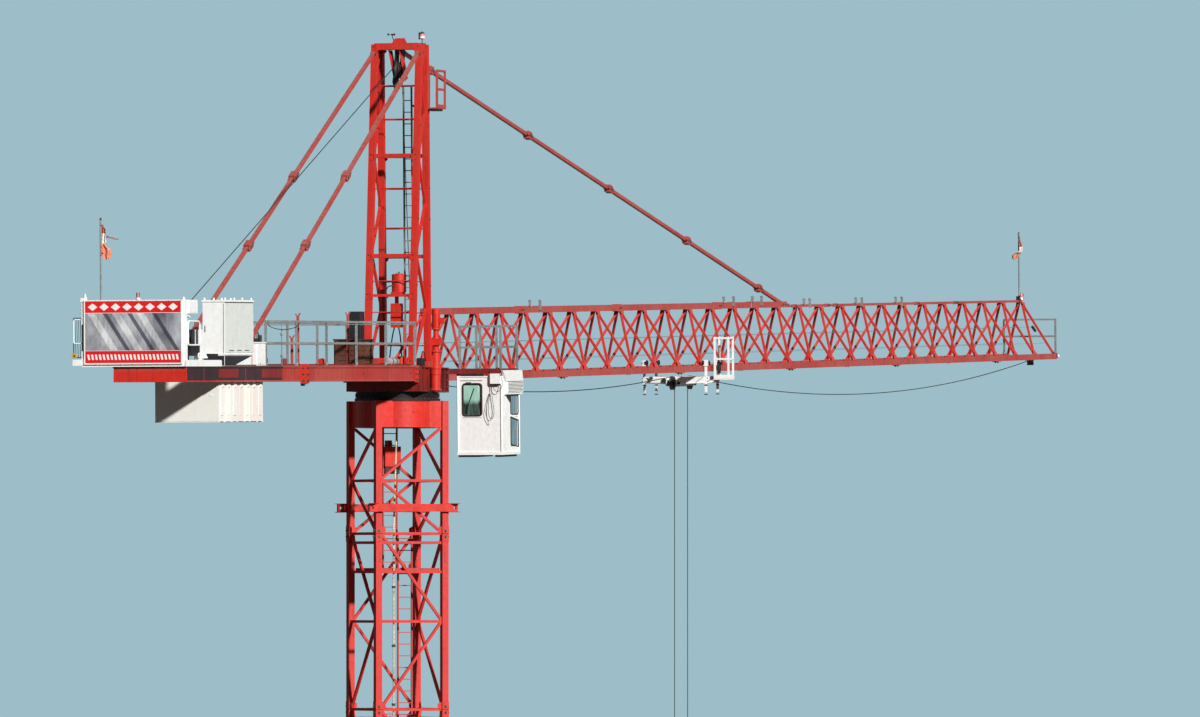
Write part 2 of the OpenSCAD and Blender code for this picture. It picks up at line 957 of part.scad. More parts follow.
// The single top chord, thick up to the tie's foot and slimmer beyond it
module jib_top_chord_blank() {
    on_jib() {
        translate([bay_length / 2 - 40, -chord / 2, jib_height - chord / 2])
            cube([tie_reach - bay_length / 2 + 100, chord, chord]);
        translate([tie_reach + 60, -chord_slim / 2, jib_height - chord / 2])
            cube([jib_length - bay_length / 2 - tie_reach - 20, chord_slim, chord_slim]);
    }
}

module jib_top_chord() {
    color(dull_red)
        jib_top_chord_blank();
}

module jib_chord_pair(from, to) {
    for (side = [-1, 1])
        translate([from, side * half_chord - chord / 2, -chord / 2])
            cube([to - from, chord, chord]);
}

module jib_bottom_chords() {
    color(dull_red)
        difference() {
            on_jib()
                jib_chord_pair(-30, jib_length);
            platform_blank();
        }
}

// One sloping side of the jib: a flat zigzag cut flush to the chords
module jib_side(side) {
    color(dull_red)
        difference() {
            on_jib()
                translate([0, side * half_chord, 0])
                    rotate([90 + side * side_tilt, 0, 0])
                        translate([0, 0, -jib_bar / 2])
                            linear_extrude(jib_bar)
                                for (i = [0 : bay_count - 1]) {
                                    long_bar([i * bay_length, side_node], [(i + 0.5) * bay_length,
                                        side_length - side_node], jib_bar);
                                    long_bar([(i + 0.5) * bay_length, side_length - side_node],
                                        [(i + 1) * bay_length, side_node], jib_bar);
                                }
            on_jib() {
                jib_chord_pair(-100, jib_length + 100);
                translate([-200, -chord / 2, jib_height - chord / 2])
                    cube([jib_length + 400, chord, 400]);
            }
            platform_blank();
        }
}

module jib_side_left() {
    jib_side(1);
}

module jib_side_right() {
    jib_side(-1);
}

// The flat bracing between the bottom chords
module jib_floor() {
    inner = half_chord - chord / 2;
    color(dull_red)
        on_jib()
            translate([0, 0, -jib_bar / 2])
                linear_extrude(jib_bar)
                    intersection() {
                        translate([5, -inner])
                            square([jib_length - 5, 2 * inner]);
                        union()
                            for (i = [0 : bay_count]) {
                                translate([i * bay_length - jib_bar / (i == bay_count ? 1 : 2), -inner])
                                    square([jib_bar, 2 * inner]);
                                if (i < bay_count)
                                    flat_bar([i * bay_length, (i % 2 == 0 ? -1 : 1) * inner],
                                        [(i + 1) * bay_length, (i % 2 == 0 ? 1 : -1) * inner], jib_bar);
                            }
                    }
}

module jib_tip_railing() {
    reach = half_chord + (chord - railing_tube) / 2;
    color(grey)
        on_jib()
            translate([jib_length - 33, -reach, chord / 2])
                rotate([0, 0, 90])
                    railing_run(2 * reach, 2, 520);
}

// The trolley's frame: origin on the jib's centre line, below the bottom chords
module on_trolley() {
    on_jib()
        translate([trolley_rest, 0, 0])
            children();
}

module trolley_frame() {
    half_x = post_spacing / 2;
    half_y = trolley_width / 2;
    color(pale)
        on_trolley() {
            for (x = [-1, 1], y = [-1, 1])
                translate([x * half_x, y * half_y, -320])
                    post_box(post, post, 420);
            for (x = [-1, 1])
                translate([x * half_x - 20, -half_y + post / 2, -197])
                    cube([40, trolley_width - post, 90]);
            for (y = [-70, 70])
                translate([-sheave_reach - 45, y - 8, sheave_drop - 40])
                    cube([2 * sheave_reach + 90, 16, 80]);
        }
}

module trolley_rollers() {
    roller = 76;
    color(dark)
        on_trolley()
            for (x = [-1, 1], y = [-1, 1])
                translate([x * post_spacing / 2, y * (trolley_width - post - 2 * fit) / 2,
                    (chord + roller) / 2 + fit])
                    rotate([y * 90, 0, 0])
                        cylinder(h = 30, d = roller);
}

module trolley_sheaves() {
    color(dark)
        on_trolley()
            for (x = [-sheave_reach, sheave_reach])
                translate([x, 0, sheave_drop])
                    sheave(sheave_diameter, 40, 124 - 2 * fit);
}

module trolley_basket() {
    bars = 24;
    length = 225;
    width = 220;
    color(pale)
        on_trolley()
            translate([(post_spacing + post) / 2 - length, -trolley_width / 2 - post / 2 - width, -155]) {
                cube([length, width, 14]);
                for (x = [0, length - bars], y = [0, width - bars])
                    translate([x, y, 14])
                        cube([bars, bars, 566]);
                for (z = [270, 556]) {
                    translate([0, 0, z])
                        cube([length, bars, bars]);
                    for (x = [0, length - bars])
                        translate([x, 0, z])
                            cube([bars, width, bars]);
                }
            }
}

// The falls and the hook hang plumb, whatever the rise of the jib
module below_trolley() {
    translate([platform_front + trolley_rest * cos(jib_rise) - sheave_drop * sin(jib_rise), 0,
        jib_root + trolley_rest * sin(jib_rise) + sheave_drop * cos(jib_rise)])
        children();
}

// Distance of a fall from the trolley's centre
function fall_reach() = sheave_reach * cos(jib_rise) - rope_radius(sheave_diameter);

module hook_falls() {
    color(dark)
        below_trolley()
            for (x = [-1, 1])
                translate([x * fall_reach(), 0, -fall_length])
                    cylinder(h = fall_length, d = rope, $fn = 8);
}

module hook_block() {
    block_sheave = 176;
    color([0.75, 0.6, 0.1])
        below_trolley()
            translate([0, 0, -fall_length - 110]) {
                for (x = [-1, 1])
                    translate([x * (fall_reach() - rope_radius(block_sheave)), 0, 110])
                        sheave(block_sheave, 40, 60);
                for (y = [-1, 1])
                    translate([-290, y * 38 - 8, -10])
                        cube([580, 16, 230]);
                translate([-70, -46, -70])
                    cube([140, 92, 60]);
                translate([0, 0, -170])
                    cylinder(h = 100, d = 46);
                translate([0, 0, -265])
                    rotate([90, 0, 0])
                        rotate_extrude(angle = 250, $fn = 48)
                            translate([75, 0])
                                circle(d = 46);
            }
}

// The slack runs of the hoist rope along the jib, from its root to the trolley and on to its tip
module rope_runs() {
    root_r = rope_radius(sheave_diameter);
    root = in_jib(root_sheave);
    top_z = sheave_drop + root_r;
    color(dark)
        on_jib() {
            rope_tube(hanging([root[0] + 4, 0, root[1] - root_r], [trolley_rest - sheave_reach, 0, top_z],
                175, 16), rope);
            rope_tube(hanging([trolley_rest + sheave_reach, 0, top_z], [anchor_x - fit, 0, -60], 370, 20),
                rope);
        }
}

base_cross();
mast_legs();
mast_side_front_left();
mast_side_rear_left();
mast_side_rear_right();
mast_side_front_right();
rest_platforms();
mast_ladders();
climbing_lug_beams();
mast_top_drum();
slewing_ring();
mast_cable();
slewing_platform();
slewing_motor();
head_rear_frame();
head_front_frame();
head_side_left();
head_side_right();
rope_guides();
head_ladder();
head_service_cage();
service_winch();
front_tie();
rear_ties();
counter_jib_beams();
counter_jib_deck();
counter_jib_railings();
ballast_slabs();
winch_frame();
winch_drum();
winch_motor();
sign_board();
electric_cabinets();
tool_crate();
work_light();
flag_poles();
flags();
hoist_rope();
cab_shell();
cab_glass();
cab_hanger();
cab_railing();
jib_top_chord();
jib_bottom_chords();
jib_side_left();
jib_side_right();
jib_floor();
jib_tip_railing();
trolley_frame();
trolley_rollers();
trolley_sheaves();
trolley_basket();
hook_falls();
hook_block();
rope_runs();
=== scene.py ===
"""Looks of the 1:2 tower crane: finishes, and the pieces that its solids leave out, from the foot upwards."""

import math

import bmesh
import bpy
import numpy as np
from mathutils import Matrix, Vector


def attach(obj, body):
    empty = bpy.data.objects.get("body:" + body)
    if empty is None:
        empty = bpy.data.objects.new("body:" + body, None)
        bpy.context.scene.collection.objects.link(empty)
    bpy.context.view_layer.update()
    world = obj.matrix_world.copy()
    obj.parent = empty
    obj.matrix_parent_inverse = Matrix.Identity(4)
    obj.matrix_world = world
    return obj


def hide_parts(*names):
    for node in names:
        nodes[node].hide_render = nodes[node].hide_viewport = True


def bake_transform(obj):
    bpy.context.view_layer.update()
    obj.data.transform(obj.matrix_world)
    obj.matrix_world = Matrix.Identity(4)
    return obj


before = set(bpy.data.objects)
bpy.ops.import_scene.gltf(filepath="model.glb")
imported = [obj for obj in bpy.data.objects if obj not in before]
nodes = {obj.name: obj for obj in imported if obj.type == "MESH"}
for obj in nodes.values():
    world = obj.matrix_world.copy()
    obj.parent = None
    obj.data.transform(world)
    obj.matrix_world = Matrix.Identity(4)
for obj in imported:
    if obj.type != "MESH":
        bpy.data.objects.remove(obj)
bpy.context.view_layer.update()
scene = bpy.context.scene


# Camera: the photograph's long lens, far off and low, looking up by about one degree. Its aim is
# turned to the right of the mast, and raised from level, by two distances in the photograph's pixels.

LENS_PIXELS, PHOTO_WIDTH = 12870, 1200
AIM_RIGHT, AIM_UP = 202.6, 241.5
STAND, EYE = 165, 12.65
BEARING = math.radians(19.5)
HEADING = BEARING - math.atan(AIM_RIGHT / LENS_PIXELS)
PITCH = math.atan(AIM_UP / LENS_PIXELS)

lens = bpy.data.cameras.new("camera")
lens.sensor_width = 36
lens.lens = LENS_PIXELS * lens.sensor_width / PHOTO_WIDTH
lens.clip_end = 2000
camera = bpy.data.objects.new("camera", lens)
camera.location = (-STAND * math.cos(BEARING), -STAND * math.sin(BEARING), EYE)
view = Vector((math.cos(PITCH) * math.cos(HEADING), math.cos(PITCH) * math.sin(HEADING), math.sin(PITCH)))
camera.rotation_euler = view.to_track_quat("-Z", "Y").to_euler()
scene.collection.objects.link(camera)
scene.camera = camera
scene.view_settings.view_transform = "Standard"


# Mast: four square legs in bolted sections of 2.25 m, with flat lattice sides. The legs are joined
# by sleeves with two bolts a face, slotted plates below them and gussets in the corners. All of it
# is machine red, faded in patches and streaked by rain.

X, Y, Z = np.eye(3)


def turned(origin, degrees, axis):
    """A frame at an origin, turned about one axis."""
    return Matrix.Translation(origin) @ Matrix.Rotation(math.radians(degrees), 4, axis)


def heading(turn):
    """Unit vectors that point level, at angles from X."""
    turn = np.asarray(turn, float)
    return np.stack([np.cos(turn), np.sin(turn), 0 * turn], -1)


def around(count):
    """Level unit vectors spread evenly over a turn."""
    return heading(np.linspace(0, 2 * math.pi, count, endpoint=False))


def places(xs, ys, zs):
    """Every point whose coordinates are taken from three lists, or from single numbers."""
    return np.stack(np.meshgrid(xs, ys, zs, indexing="ij"), -1).reshape(-1, 3)


def flat(at, across, rise, spots):
    """Points of a flat outline: at + u * across + v * rise, for each (u, v)."""
    spots = np.asarray(spots, float)
    return np.asarray(at) + spots[:, :1] * across + spots[:, 1:] * rise


class Form:
    """Surfaces of one piece, worked out as whole arrays in a frame of its own."""

    def __init__(self, place=None):
        self.place = np.eye(4) if place is None else np.array(place)
        self.points, self.faces, self.marks, self.count = [], [], [], 0

    def skin(self, grid, mark=0, looped=False):
        """Faces over a grid of points: each row is a closed ring, and the first and last are shut."""
        rows, ring = grid.shape[:2]
        index = np.arange(rows * ring).reshape(rows, ring) + self.count
        here = index if looped else index[:-1]
        there = np.roll(index, -1, 0)[: len(here)]
        quads = np.stack([here, np.roll(here, -1, 1), np.roll(there, -1, 1), there], -1)
        faces = quads.reshape(-1, 4).tolist()
        if not looped:
            faces += [index[0][::-1].tolist(), index[-1].tolist()]
        self.points.append(grid.reshape(-1, 3) @ self.place[:3, :3].T + self.place[:3, 3])
        self.faces += faces
        self.marks += [mark] * len(faces)
        self.count += rows * ring

    def carry(self, path, profile, up=Z, ahead=None, mark=0, looped=False):
        """A closed profile of (u, v) carried along a path: point = path + u * side + v * rise."""
        path, profile = np.asarray(path, float), np.asarray(profile, float)
        if ahead is None:
            ahead = np.roll(path, -1, 0) - np.roll(path, 1, 0) if looped else np.gradient(path, axis=0)
        ahead = np.broadcast_to(np.asarray(ahead, float), path.shape)
        ahead = ahead / np.linalg.norm(ahead, axis=1, keepdims=True)
        side = np.cross(ahead, up)
        side /= np.linalg.norm(side, axis=1, keepdims=True)
        rise = np.cross(side, ahead)
        grid = path[:, None] + profile[..., :1] * side[:, None] + profile[..., 1:] * rise[:, None]
        self.skin(grid, mark, looped)

    def bar(self, start, end, wide, deep=None, up=Z, mark=0):
        """A straight bar of rectangular section: wide across up, deep along up."""
        deep = wide if deep is None else deep
        ahead = np.subtract(end, start)
        if abs(np.dot(ahead, up)) > 0.99 * np.linalg.norm(ahead) * np.linalg.norm(up):
            up = X
        corners = np.array([(-1, -1), (1, -1), (1, 1), (-1, 1)]) * (wide / 2, deep / 2)
        self.carry([start, end], corners, up, mark=mark)

    def box(self, corner, opposite, mark=0):
        """A box between two opposite corners: its lower outline carried straight up."""
        low, high = np.minimum(corner, opposite), np.maximum(corner, opposite)
        middle = (low + high) / 2
        wide, deep, _ = high - low
        self.bar((*middle[:2], low[2]), (*middle[:2], high[2]), wide, deep, Y, mark)

    def boxes(self, rows, mark=0):
        """A box for each row of six numbers, which are two opposite corners."""
        for row in rows:
            self.box(row[:3], row[3:], mark)

    def stand(self, spots, half, height, mark=0):
        """A box that stands on each spot, by its half sizes along X and Y, and its height."""
        reach = np.array((*np.broadcast_to(half, 2), 0))
        for spot in np.reshape(spots, (-1, 3)):
            self.box(spot - reach, spot + reach + height * Z, mark)

    def spin(self, bases, axis, profile, sides=24, mark=0):
        """A turned shape at each base: a circle of each radius, set at its distance along the axis."""
        radius, along = np.array(profile, float).T
        axis = np.asarray(axis, float) / np.linalg.norm(axis)
        circle = around(sides)[:, :2]
        for base in np.reshape(bases, (-1, 3)):
            path = base + along[:, None] * axis
            self.carry(path, radius[:, None, None] * circle, X if abs(axis[2]) > 0.9 else Z, axis, mark)

    def disc(self, bases, axis, radius, length, edge=0.003, sides=32, mark=0):
        """Short cylinders with eased edges."""
        rings = [(radius - edge, 0), (radius, edge), (radius, length - edge), (radius - edge, length)]
        self.spin(bases, axis, rings, sides, mark)

    def tube(self, path, radius, sides=10, looped=False, mark=0):
        """A round rod: a circle carried along a path, with the steadiest of the three axes as up."""
        path = np.asarray(path, float)
        ahead = np.roll(path, -1, 0) - path if looped else np.diff(path, axis=0)
        lean = np.abs(ahead / np.linalg.norm(ahead, axis=1, keepdims=True)).max(0)
        circle = radius * around(sides)[:, :2]
        self.carry(path, circle, np.eye(3)[lean.argmin()], mark=mark, looped=looped)

    def plate(self, outline, lift, mark=0):
        """A flat outline of points, and the same outline moved by the vector lift."""
        self.skin(np.stack([outline, np.add(outline, lift)]), mark)

    def bolt(self, spots, axis, across=0.02, mark=0):
        """Hexagon heads on round washers, all with one axis."""
        self.spin(spots, axis, [(across * 0.75, -0.001), (across * 0.75, across * 0.15)], 12, mark)
        head = [(across * 0.55, across * 0.15), (across * 0.55, across * 0.6), (across * 0.4, across * 0.75)]
        self.spin(spots, axis, head, 6, mark)


def object_of(name, points, faces, marks, finishes):
    """An object of points and faces. Each face's mark is the place of its finish in the list."""
    mesh = bpy.data.meshes.new(name)
    mesh.from_pydata(np.asarray(points).tolist(), [], faces)
    for finish in finishes:
        mesh.materials.append(finish)
    mesh.polygons.foreach_set("material_index", marks)
    mesh.polygons.foreach_set("use_smooth", [True] * len(faces))
    made = bpy.data.objects.new(name, mesh)
    scene.collection.objects.link(made)
    return made


def piece(name, form, finishes, bevel=0.0, body="upper"):
    """A form made into an object that rides on a body, with creased or eased edges."""
    finishes = finishes if isinstance(finishes, tuple) else (finishes,)
    made = object_of(name, np.concatenate(form.points), form.faces, form.marks, finishes)
    shape = bmesh.new()
    shape.from_mesh(made.data)
    bmesh.ops.recalc_face_normals(shape, faces=shape.faces)
    shape.to_mesh(made.data)
    shape.free()
    made.data.set_sharp_from_angle(angle=math.radians(35))
    if bevel:
        edges = made.modifiers.new("edges", "BEVEL")
        edges.width, edges.segments = bevel, 1
        edges.limit_method, edges.angle_limit = "ANGLE", math.radians(40)
        edges.harden_normals = True
    if body:
        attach(made, body)
    return made


def dress(material, *labels):
    """A finish for nodes that are shown as the solids give them."""
    for label in labels:
        for slot in nodes[label].material_slots:
            slot.material = material


def srgb(*color):
    """A colour as it shows on screen, turned into a linear one."""
    part = np.array(color) / 255
    linear = np.where(part < 0.04045, part / 12.92, ((part + 0.055) / 1.055) ** 2.4)
    return (*linear.tolist(), 1.0)


def put(tree, kind, inputs=None, **settings):
    """A shader node with its settings, and its inputs set or linked."""
    made = tree.nodes.new("ShaderNode" + kind)
    for name, value in settings.items():
        setattr(made, name, value)
    for key, value in (inputs or {}).items():
        if isinstance(value, bpy.types.NodeSocket):
            tree.links.new(value, made.inputs[key])
        else:
            made.inputs[key].default_value = value
    return made


def reckon(tree, operation, first, second=0.0):
    """The result of a Math node."""
    return put(tree, "Math", {0: first, 1: second}, operation=operation).outputs[0]


def times(tree, first, second):
    """The product of two values."""
    return reckon(tree, "MULTIPLY", first, second)


def ramp(tree, value, low, high, start=0.0, end=1.0):
    """A value between low and high, spread over start to end."""
    inputs = {"Value": value, "From Min": low, "From Max": high, "To Min": start, "To Max": end}
    return put(tree, "MapRange", inputs).outputs[0]


def stretched(tree, place, x, y, z):
    """Coordinates scaled apart, for grain and streaks."""
    return put(tree, "Mapping", {"Vector": place, "Scale": (x, y, z)}).outputs[0]


def noise(tree, place, scale, detail=4.0, rough=0.55):
    """Soft noise of one scale, in one over metres, or of three scales for X, Y and Z."""
    if isinstance(scale, tuple):
        place, scale = stretched(tree, place, *scale), 1
    inputs = {"Vector": place, "Scale": scale, "Detail": detail, "Roughness": rough}
    return put(tree, "TexNoise", inputs).outputs[0]


def blend(tree, amount, first, second):
    """Two colours mixed by an amount."""
    inputs = {0: amount, 6: first, 7: second}
    return put(tree, "Mix", inputs, data_type="RGBA", clamp_factor=True).outputs[2]


def finish(name, metallic=0.0, ior=1.45, coat=0.0):
    """A new material with one shader, whose even values are set on its own sockets."""
    made = bpy.data.materials.new(name)
    made.use_nodes = True
    tree = made.node_tree
    shader = tree.nodes["Principled BSDF"]
    for label, value in (("Metallic", metallic), ("IOR", ior), ("Coat Weight", coat)):
        shader.inputs[label].default_value = value
    return made, tree, shader


def object_place(tree):
    """Coordinates that stay with the object."""
    return tree.nodes.new("ShaderNodeTexCoord").outputs["Object"]


def facing(tree, axis):
    """How far the surface faces along one axis, from -1 to 1."""
    normal = tree.nodes.new("ShaderNodeNewGeometry").outputs["Normal"]
    return put(tree, "SeparateXYZ", {0: normal}).outputs["XYZ".index(axis)]


def surface(tree, shader, color, rough, height=None, strength=0.0, depth=0.0):
    """A material's colour and roughness, and a height that shows as bumps of a depth in metres."""
    tree.links.new(color, shader.inputs["Base Color"])
    tree.links.new(rough, shader.inputs["Roughness"])
    if height is not None:
        bumps = put(tree, "Bump", {"Strength": strength, "Distance": depth, "Height": height})
        tree.links.new(bumps.outputs[0], shader.inputs["Normal"])


def weathering():
    """Shader group: faded patches, rain streaks, rust specks in clusters, dust on upward faces."""
    tree = bpy.data.node_groups.new("weathering", "ShaderNodeTree")
    for label in ("Paint", "Faded", "Dirt"):
        tree.interface.new_socket(label, in_out="INPUT", socket_type="NodeSocketColor")
    for label in ("Fading", "Streaks", "Rust", "Dust", "Roughness"):
        tree.interface.new_socket(label, in_out="INPUT", socket_type="NodeSocketFloat")
    for label, kind in (("Color", "Color"), ("Roughness", "Float"), ("Normal", "Vector")):
        tree.interface.new_socket(label, in_out="OUTPUT", socket_type="NodeSocket" + kind)
    given = tree.nodes.new("NodeGroupInput").outputs
    result = tree.nodes.new("NodeGroupOutput").inputs
    spot = object_place(tree)
    patches = ramp(tree, noise(tree, spot, 0.8, 5, 0.65), 0.38, 0.64)
    grain = noise(tree, spot, 16, 6, 0.6)
    runs = ramp(tree, noise(tree, spot, (13, 13, 0.9), 5, 0.6), 0.5, 0.72)
    specks = ramp(tree, noise(tree, spot, 31, 9, 0.7), 0.62, 0.68)
    clusters = ramp(tree, noise(tree, spot, 2.3, 3), 0.46, 0.6)
    upward = ramp(tree, facing(tree, "Z"), 0.3, 0.95)
    tint = blend(tree, times(tree, patches, given["Fading"]), given["Paint"], given["Faded"])
    value = ramp(tree, grain, 0.3, 0.7, 0.93, 1.06)
    shade = put(tree, "HueSaturation", {"Value": value, "Color": tint}).outputs[0]
    tint = blend(tree, times(tree, runs, given["Streaks"]), shade, given["Dirt"])
    rusty = times(tree, times(tree, specks, clusters), given["Rust"])
    tint = blend(tree, rusty, tint, srgb(86, 40, 22))
    dusty = times(tree, times(tree, upward, ramp(tree, grain, 0.35, 0.6)), given["Dust"])
    tree.links.new(blend(tree, dusty, tint, srgb(176, 158, 146)), result["Color"])
    matt = reckon(tree, "ADD", given["Roughness"], ramp(tree, grain, 0.3, 0.7, -0.07, 0.09))
    tree.links.new(reckon(tree, "ADD", matt, times(tree, rusty, 0.3)), result["Roughness"])
    height = reckon(tree, "SUBTRACT", grain, times(tree, rusty, 0.6))
    bump = put(tree, "Bump", {"Strength": 0.25, "Distance": 0.002, "Height": height})
    tree.links.new(bump.outputs[0], result["Normal"])
    return tree


weather = weathering()
WORN = ("Fading", "Streaks", "Rust", "Dust", "Roughness")
SOOT = (48, 22, 24)


def paint(name, color, faded, worn, dirt=SOOT, metallic=0.0, coat=0.0):
    """Weathered paint or bare metal, from the weathering group; worn lists the amounts of WORN."""
    made, tree, shader = finish(name, metallic, coat=coat)
    group = tree.nodes.new("ShaderNodeGroup")
    group.node_tree = weather
    values = {"Paint": srgb(*color), "Faded": srgb(*faded), "Dirt": srgb(*dirt), **dict(zip(WORN, worn))}
    for label, value in values.items():
        group.inputs[label].default_value = value
    for label, socket in (("Color", "Base Color"), ("Roughness", "Roughness"), ("Normal", "Normal")):
        tree.links.new(group.outputs[label], shader.inputs[socket])
    return made


mast_red = paint("mast_red", (206, 40, 30), (200, 64, 52), (0.6, 0.22, 0.5, 0.1, 0.45))
deep_red = paint("deep_red", (120, 30, 30), (142, 52, 48), (0.6, 0.5, 0.6, 0.2, 0.55))
black_steel = paint("black_steel", (30, 30, 34), (52, 50, 52), (0.7, 0.4, 0.25, 0.35, 0.5), (12, 12, 13))
bolts_steel = paint("bolts_steel", (94, 74, 66), (128, 112, 102), (0.7, 0.3, 1.0, 0.2, 0.45), metallic=0.6)
dress(mast_red, "mast_legs", "mast_side_front_left", "mast_side_rear_left")
dress(mast_red, "mast_side_rear_right", "mast_side_front_right")
dress(deep_red, "base_cross")

MAST = turned((0, 0, 0), 42, "Z")
SECTION, HALF_MAST, LEG = 2.25, 0.46, 0.084
JOINTS = np.arange(1, 7) * SECTION
joints, slots, joint_bolts, feet = Form(MAST), Form(MAST), Form(MAST), Form(MAST)
corners = [(sx, sy) for sx in (-1, 1) for sy in (-1, 1)]
for sx, sy in corners:
    leg = np.array((sx * HALF_MAST, sy * HALF_MAST, 0))
    walls = (sx * X, sy * Y), (sy * Y, sx * X)
    for at in leg + JOINTS[:, None] * Z:
        joints.stand((at - 0.105 * Z, at + 0.004 * Z), 0.0465, 0.101)
        slots.stand(at - 0.004 * Z, 0.0455, 0.008)
        for out, across in walls:
            joint_bolts.bolt((at + out * 0.0465 - 0.038 * Z, at + out * 0.0465 + 0.038 * Z), out, 0.026)
            edge = at + out * 0.0425 - across * 0.013 - 0.363 * Z
            for high, wide in ((0.128, 0.004), (0.008, 0.022)):
                slots.plate(flat(edge, across, Z, [(0, 0), (wide, 0), (wide, high), (0, high)]), out * 0.0012)
            corner = at - across * LEG / 2 + out * 0.0175
            gusset = [(0, 0.10), (0.055, 0.075), (0.06, 0.03), (0, -0.012)]
            joints.plate(flat(corner, -across, Z, gusset), out * 0.006)
    for out, across in walls:
        foot = leg + 0.16 * Z + out * LEG / 2 - across * 0.006
        feet.plate(flat(foot, out, Z, [(0, 0), (0.1, 0), (0, 0.22)]), across * 0.012)
piece("mast_joint_sleeves", joints, mast_red, 0.002, "mast")
piece("mast_joint_slots", slots, black_steel, 0, "mast")
piece("mast_joint_bolts", joint_bolts, bolts_steel, 0, "mast")
piece("mast_foot_gussets", feet, deep_red, 0.0015, "mast")


# Supply cable: a pale rubber cable up one corner of the mast, held by clamps, with dark tape marks.


def twisted(name, color, dark, metallic, pitch, z=1.0):
    """Rope or cable: strands lie slanted round it."""
    made, tree, shader = finish(name, metallic)
    place = object_place(tree)
    slant = {"Vector": stretched(tree, place, 1, 1, z), "Scale": pitch, "Distortion": 1.5}
    lay = put(tree, "TexWave", slant, bands_direction="DIAGONAL").outputs["Fac"]
    tone = blend(tree, lay, srgb(*dark), srgb(*color))
    tone = blend(tree, ramp(tree, noise(tree, place, 6, 5), 0.45, 0.7, 0, 0.6), tone, srgb(64, 52, 42))
    surface(tree, shader, tone, ramp(tree, lay, 0, 1, 0.62, 0.38), lay, 0.4, 0.002)
    return made


dress(twisted("pale_cable", (236, 222, 182), (186, 170, 132), 0.0, 26.0, 0.4), "mast_cable")
clamps = Form(MAST)
levels = np.arange(0.8, 13.4, 0.75)
clamps.stand(places(-0.431, 0.23, levels), (0.0125, 0.022), 0.03)
clamps.bolt(places(-0.4185, 0.23, levels + 0.015), X, 0.014)
tape = [(0.0116, 0), (0.0122, 0.004), (0.0122, 0.03), (0.0116, 0.034)]
clamps.spin(places(-0.4317, 0.23, levels + 0.31), Z, tape, 14)
piece("supply_cable_clamps", clamps, black_steel, 0.001, "mast")


# Rest platforms and ladders: floors of steel grating in every section, with kick strips, and small
# red lamp boxes beside the hatch. The ladders between them are plain red flights.


def grating(name, color, dark):
    """Walkway grating: a fine net of bars, with painted shade filling the openings between them."""
    made, tree, shader = finish(name, 0.3)
    place = object_place(tree)
    lines = []
    for direction in "XY":
        band = put(tree, "TexWave", {"Vector": place, "Scale": 9.0}, bands_direction=direction)
        lines.append(ramp(tree, band.outputs["Fac"], 0.25, 0.5))
    net = reckon(tree, "MAXIMUM", *lines)
    worn = ramp(tree, noise(tree, place, 3, 5), 0.4, 0.65)
    bars = blend(tree, worn, srgb(*color), srgb(112, 84, 70))
    color = blend(tree, net, srgb(*dark), bars)
    surface(tree, shader, color, ramp(tree, worn, 0, 1, 0.45, 0.8), net, 0.8, 0.006)
    return made


# The second colour is painted shade, seen through the grating's openings.
floor_grating = grating("floor_grating", (150, 120, 108), (36, 22, 22))
beam_red = paint("beam_red", (176, 48, 38), (188, 86, 76), (0.6, 0.4, 0.5, 0.25, 0.5))
bright_red = paint("bright_red", (212, 40, 27), (200, 60, 46), (0.5, 0.25, 0.45, 0.12, 0.4), coat=0.1)
dress(floor_grating, "rest_platforms")
dress(beam_red, "mast_ladders")
trims, lamps = Form(MAST), Form(MAST)
floors = JOINTS - 0.49
trims.stand(places(0, (-0.41, 0.41), floors), (0.40, 0.004), 0.05)
trims.stand(places((-0.41, 0.41), 0, floors), (0.004, 0.40), 0.05)
for x, y in ((0.35, -0.33), (0.31, -0.22)):
    lamps.stand(places(x, y, floors), 0.035, 0.055)
    lamps.spin(places(x, y, floors + 0.055), Z, [(0.028, 0), (0.028, 0.03), (0.02, 0.05), (0.008, 0.056)], 16)
piece("rest_platform_trim", trims, beam_red, 0.001, "mast")
piece("rest_platform_lamps", lamps, bright_red, 0.002, "mast")


# Climbing gear: lug beams across the mast, with a pinned fork plate at each end, and a red box with
# a black foot that hangs in the top section.

dress(bright_red, "climbing_lug_beams")
lugs, gear = Form(MAST), Form(MAST)
for corner in corners:
    way, reach = np.array((*corner, 0)) / math.sqrt(2), 0.572 * math.sqrt(2)
    for level in (13.776 * Z, 13.884 * Z):
        lugs.bar(way * (reach - 0.12) + level, way * (reach + 0.05) + level, 0.075, 0.008)
gear.boxes([(0.19, -0.13, 14.36, 0.43, 0.09, 14.62), (0.30, -0.05, 14.62, 0.43, 0.0, 14.70)])
gear.box((0.21, -0.12, 14.27), (0.42, 0.08, 14.36), 1)
for y in (-0.095, 0.055):
    gear.bar((0.44, y, 14.29), (0.44, y, 14.68), 0.03, 0.012, X, 1)
piece("climbing_lug_plates", lugs, bright_red, 0.001, "mast")
piece("climbing_gear_box", gear, (bright_red, black_steel), 0.004, "mast")


# Collar and slewing ring: a welded red drum with rolled rims and seams, then the toothed ring
# with its ring of bolts, in dark steel darkened to near black as painted shade.

COLLAR = 0.532
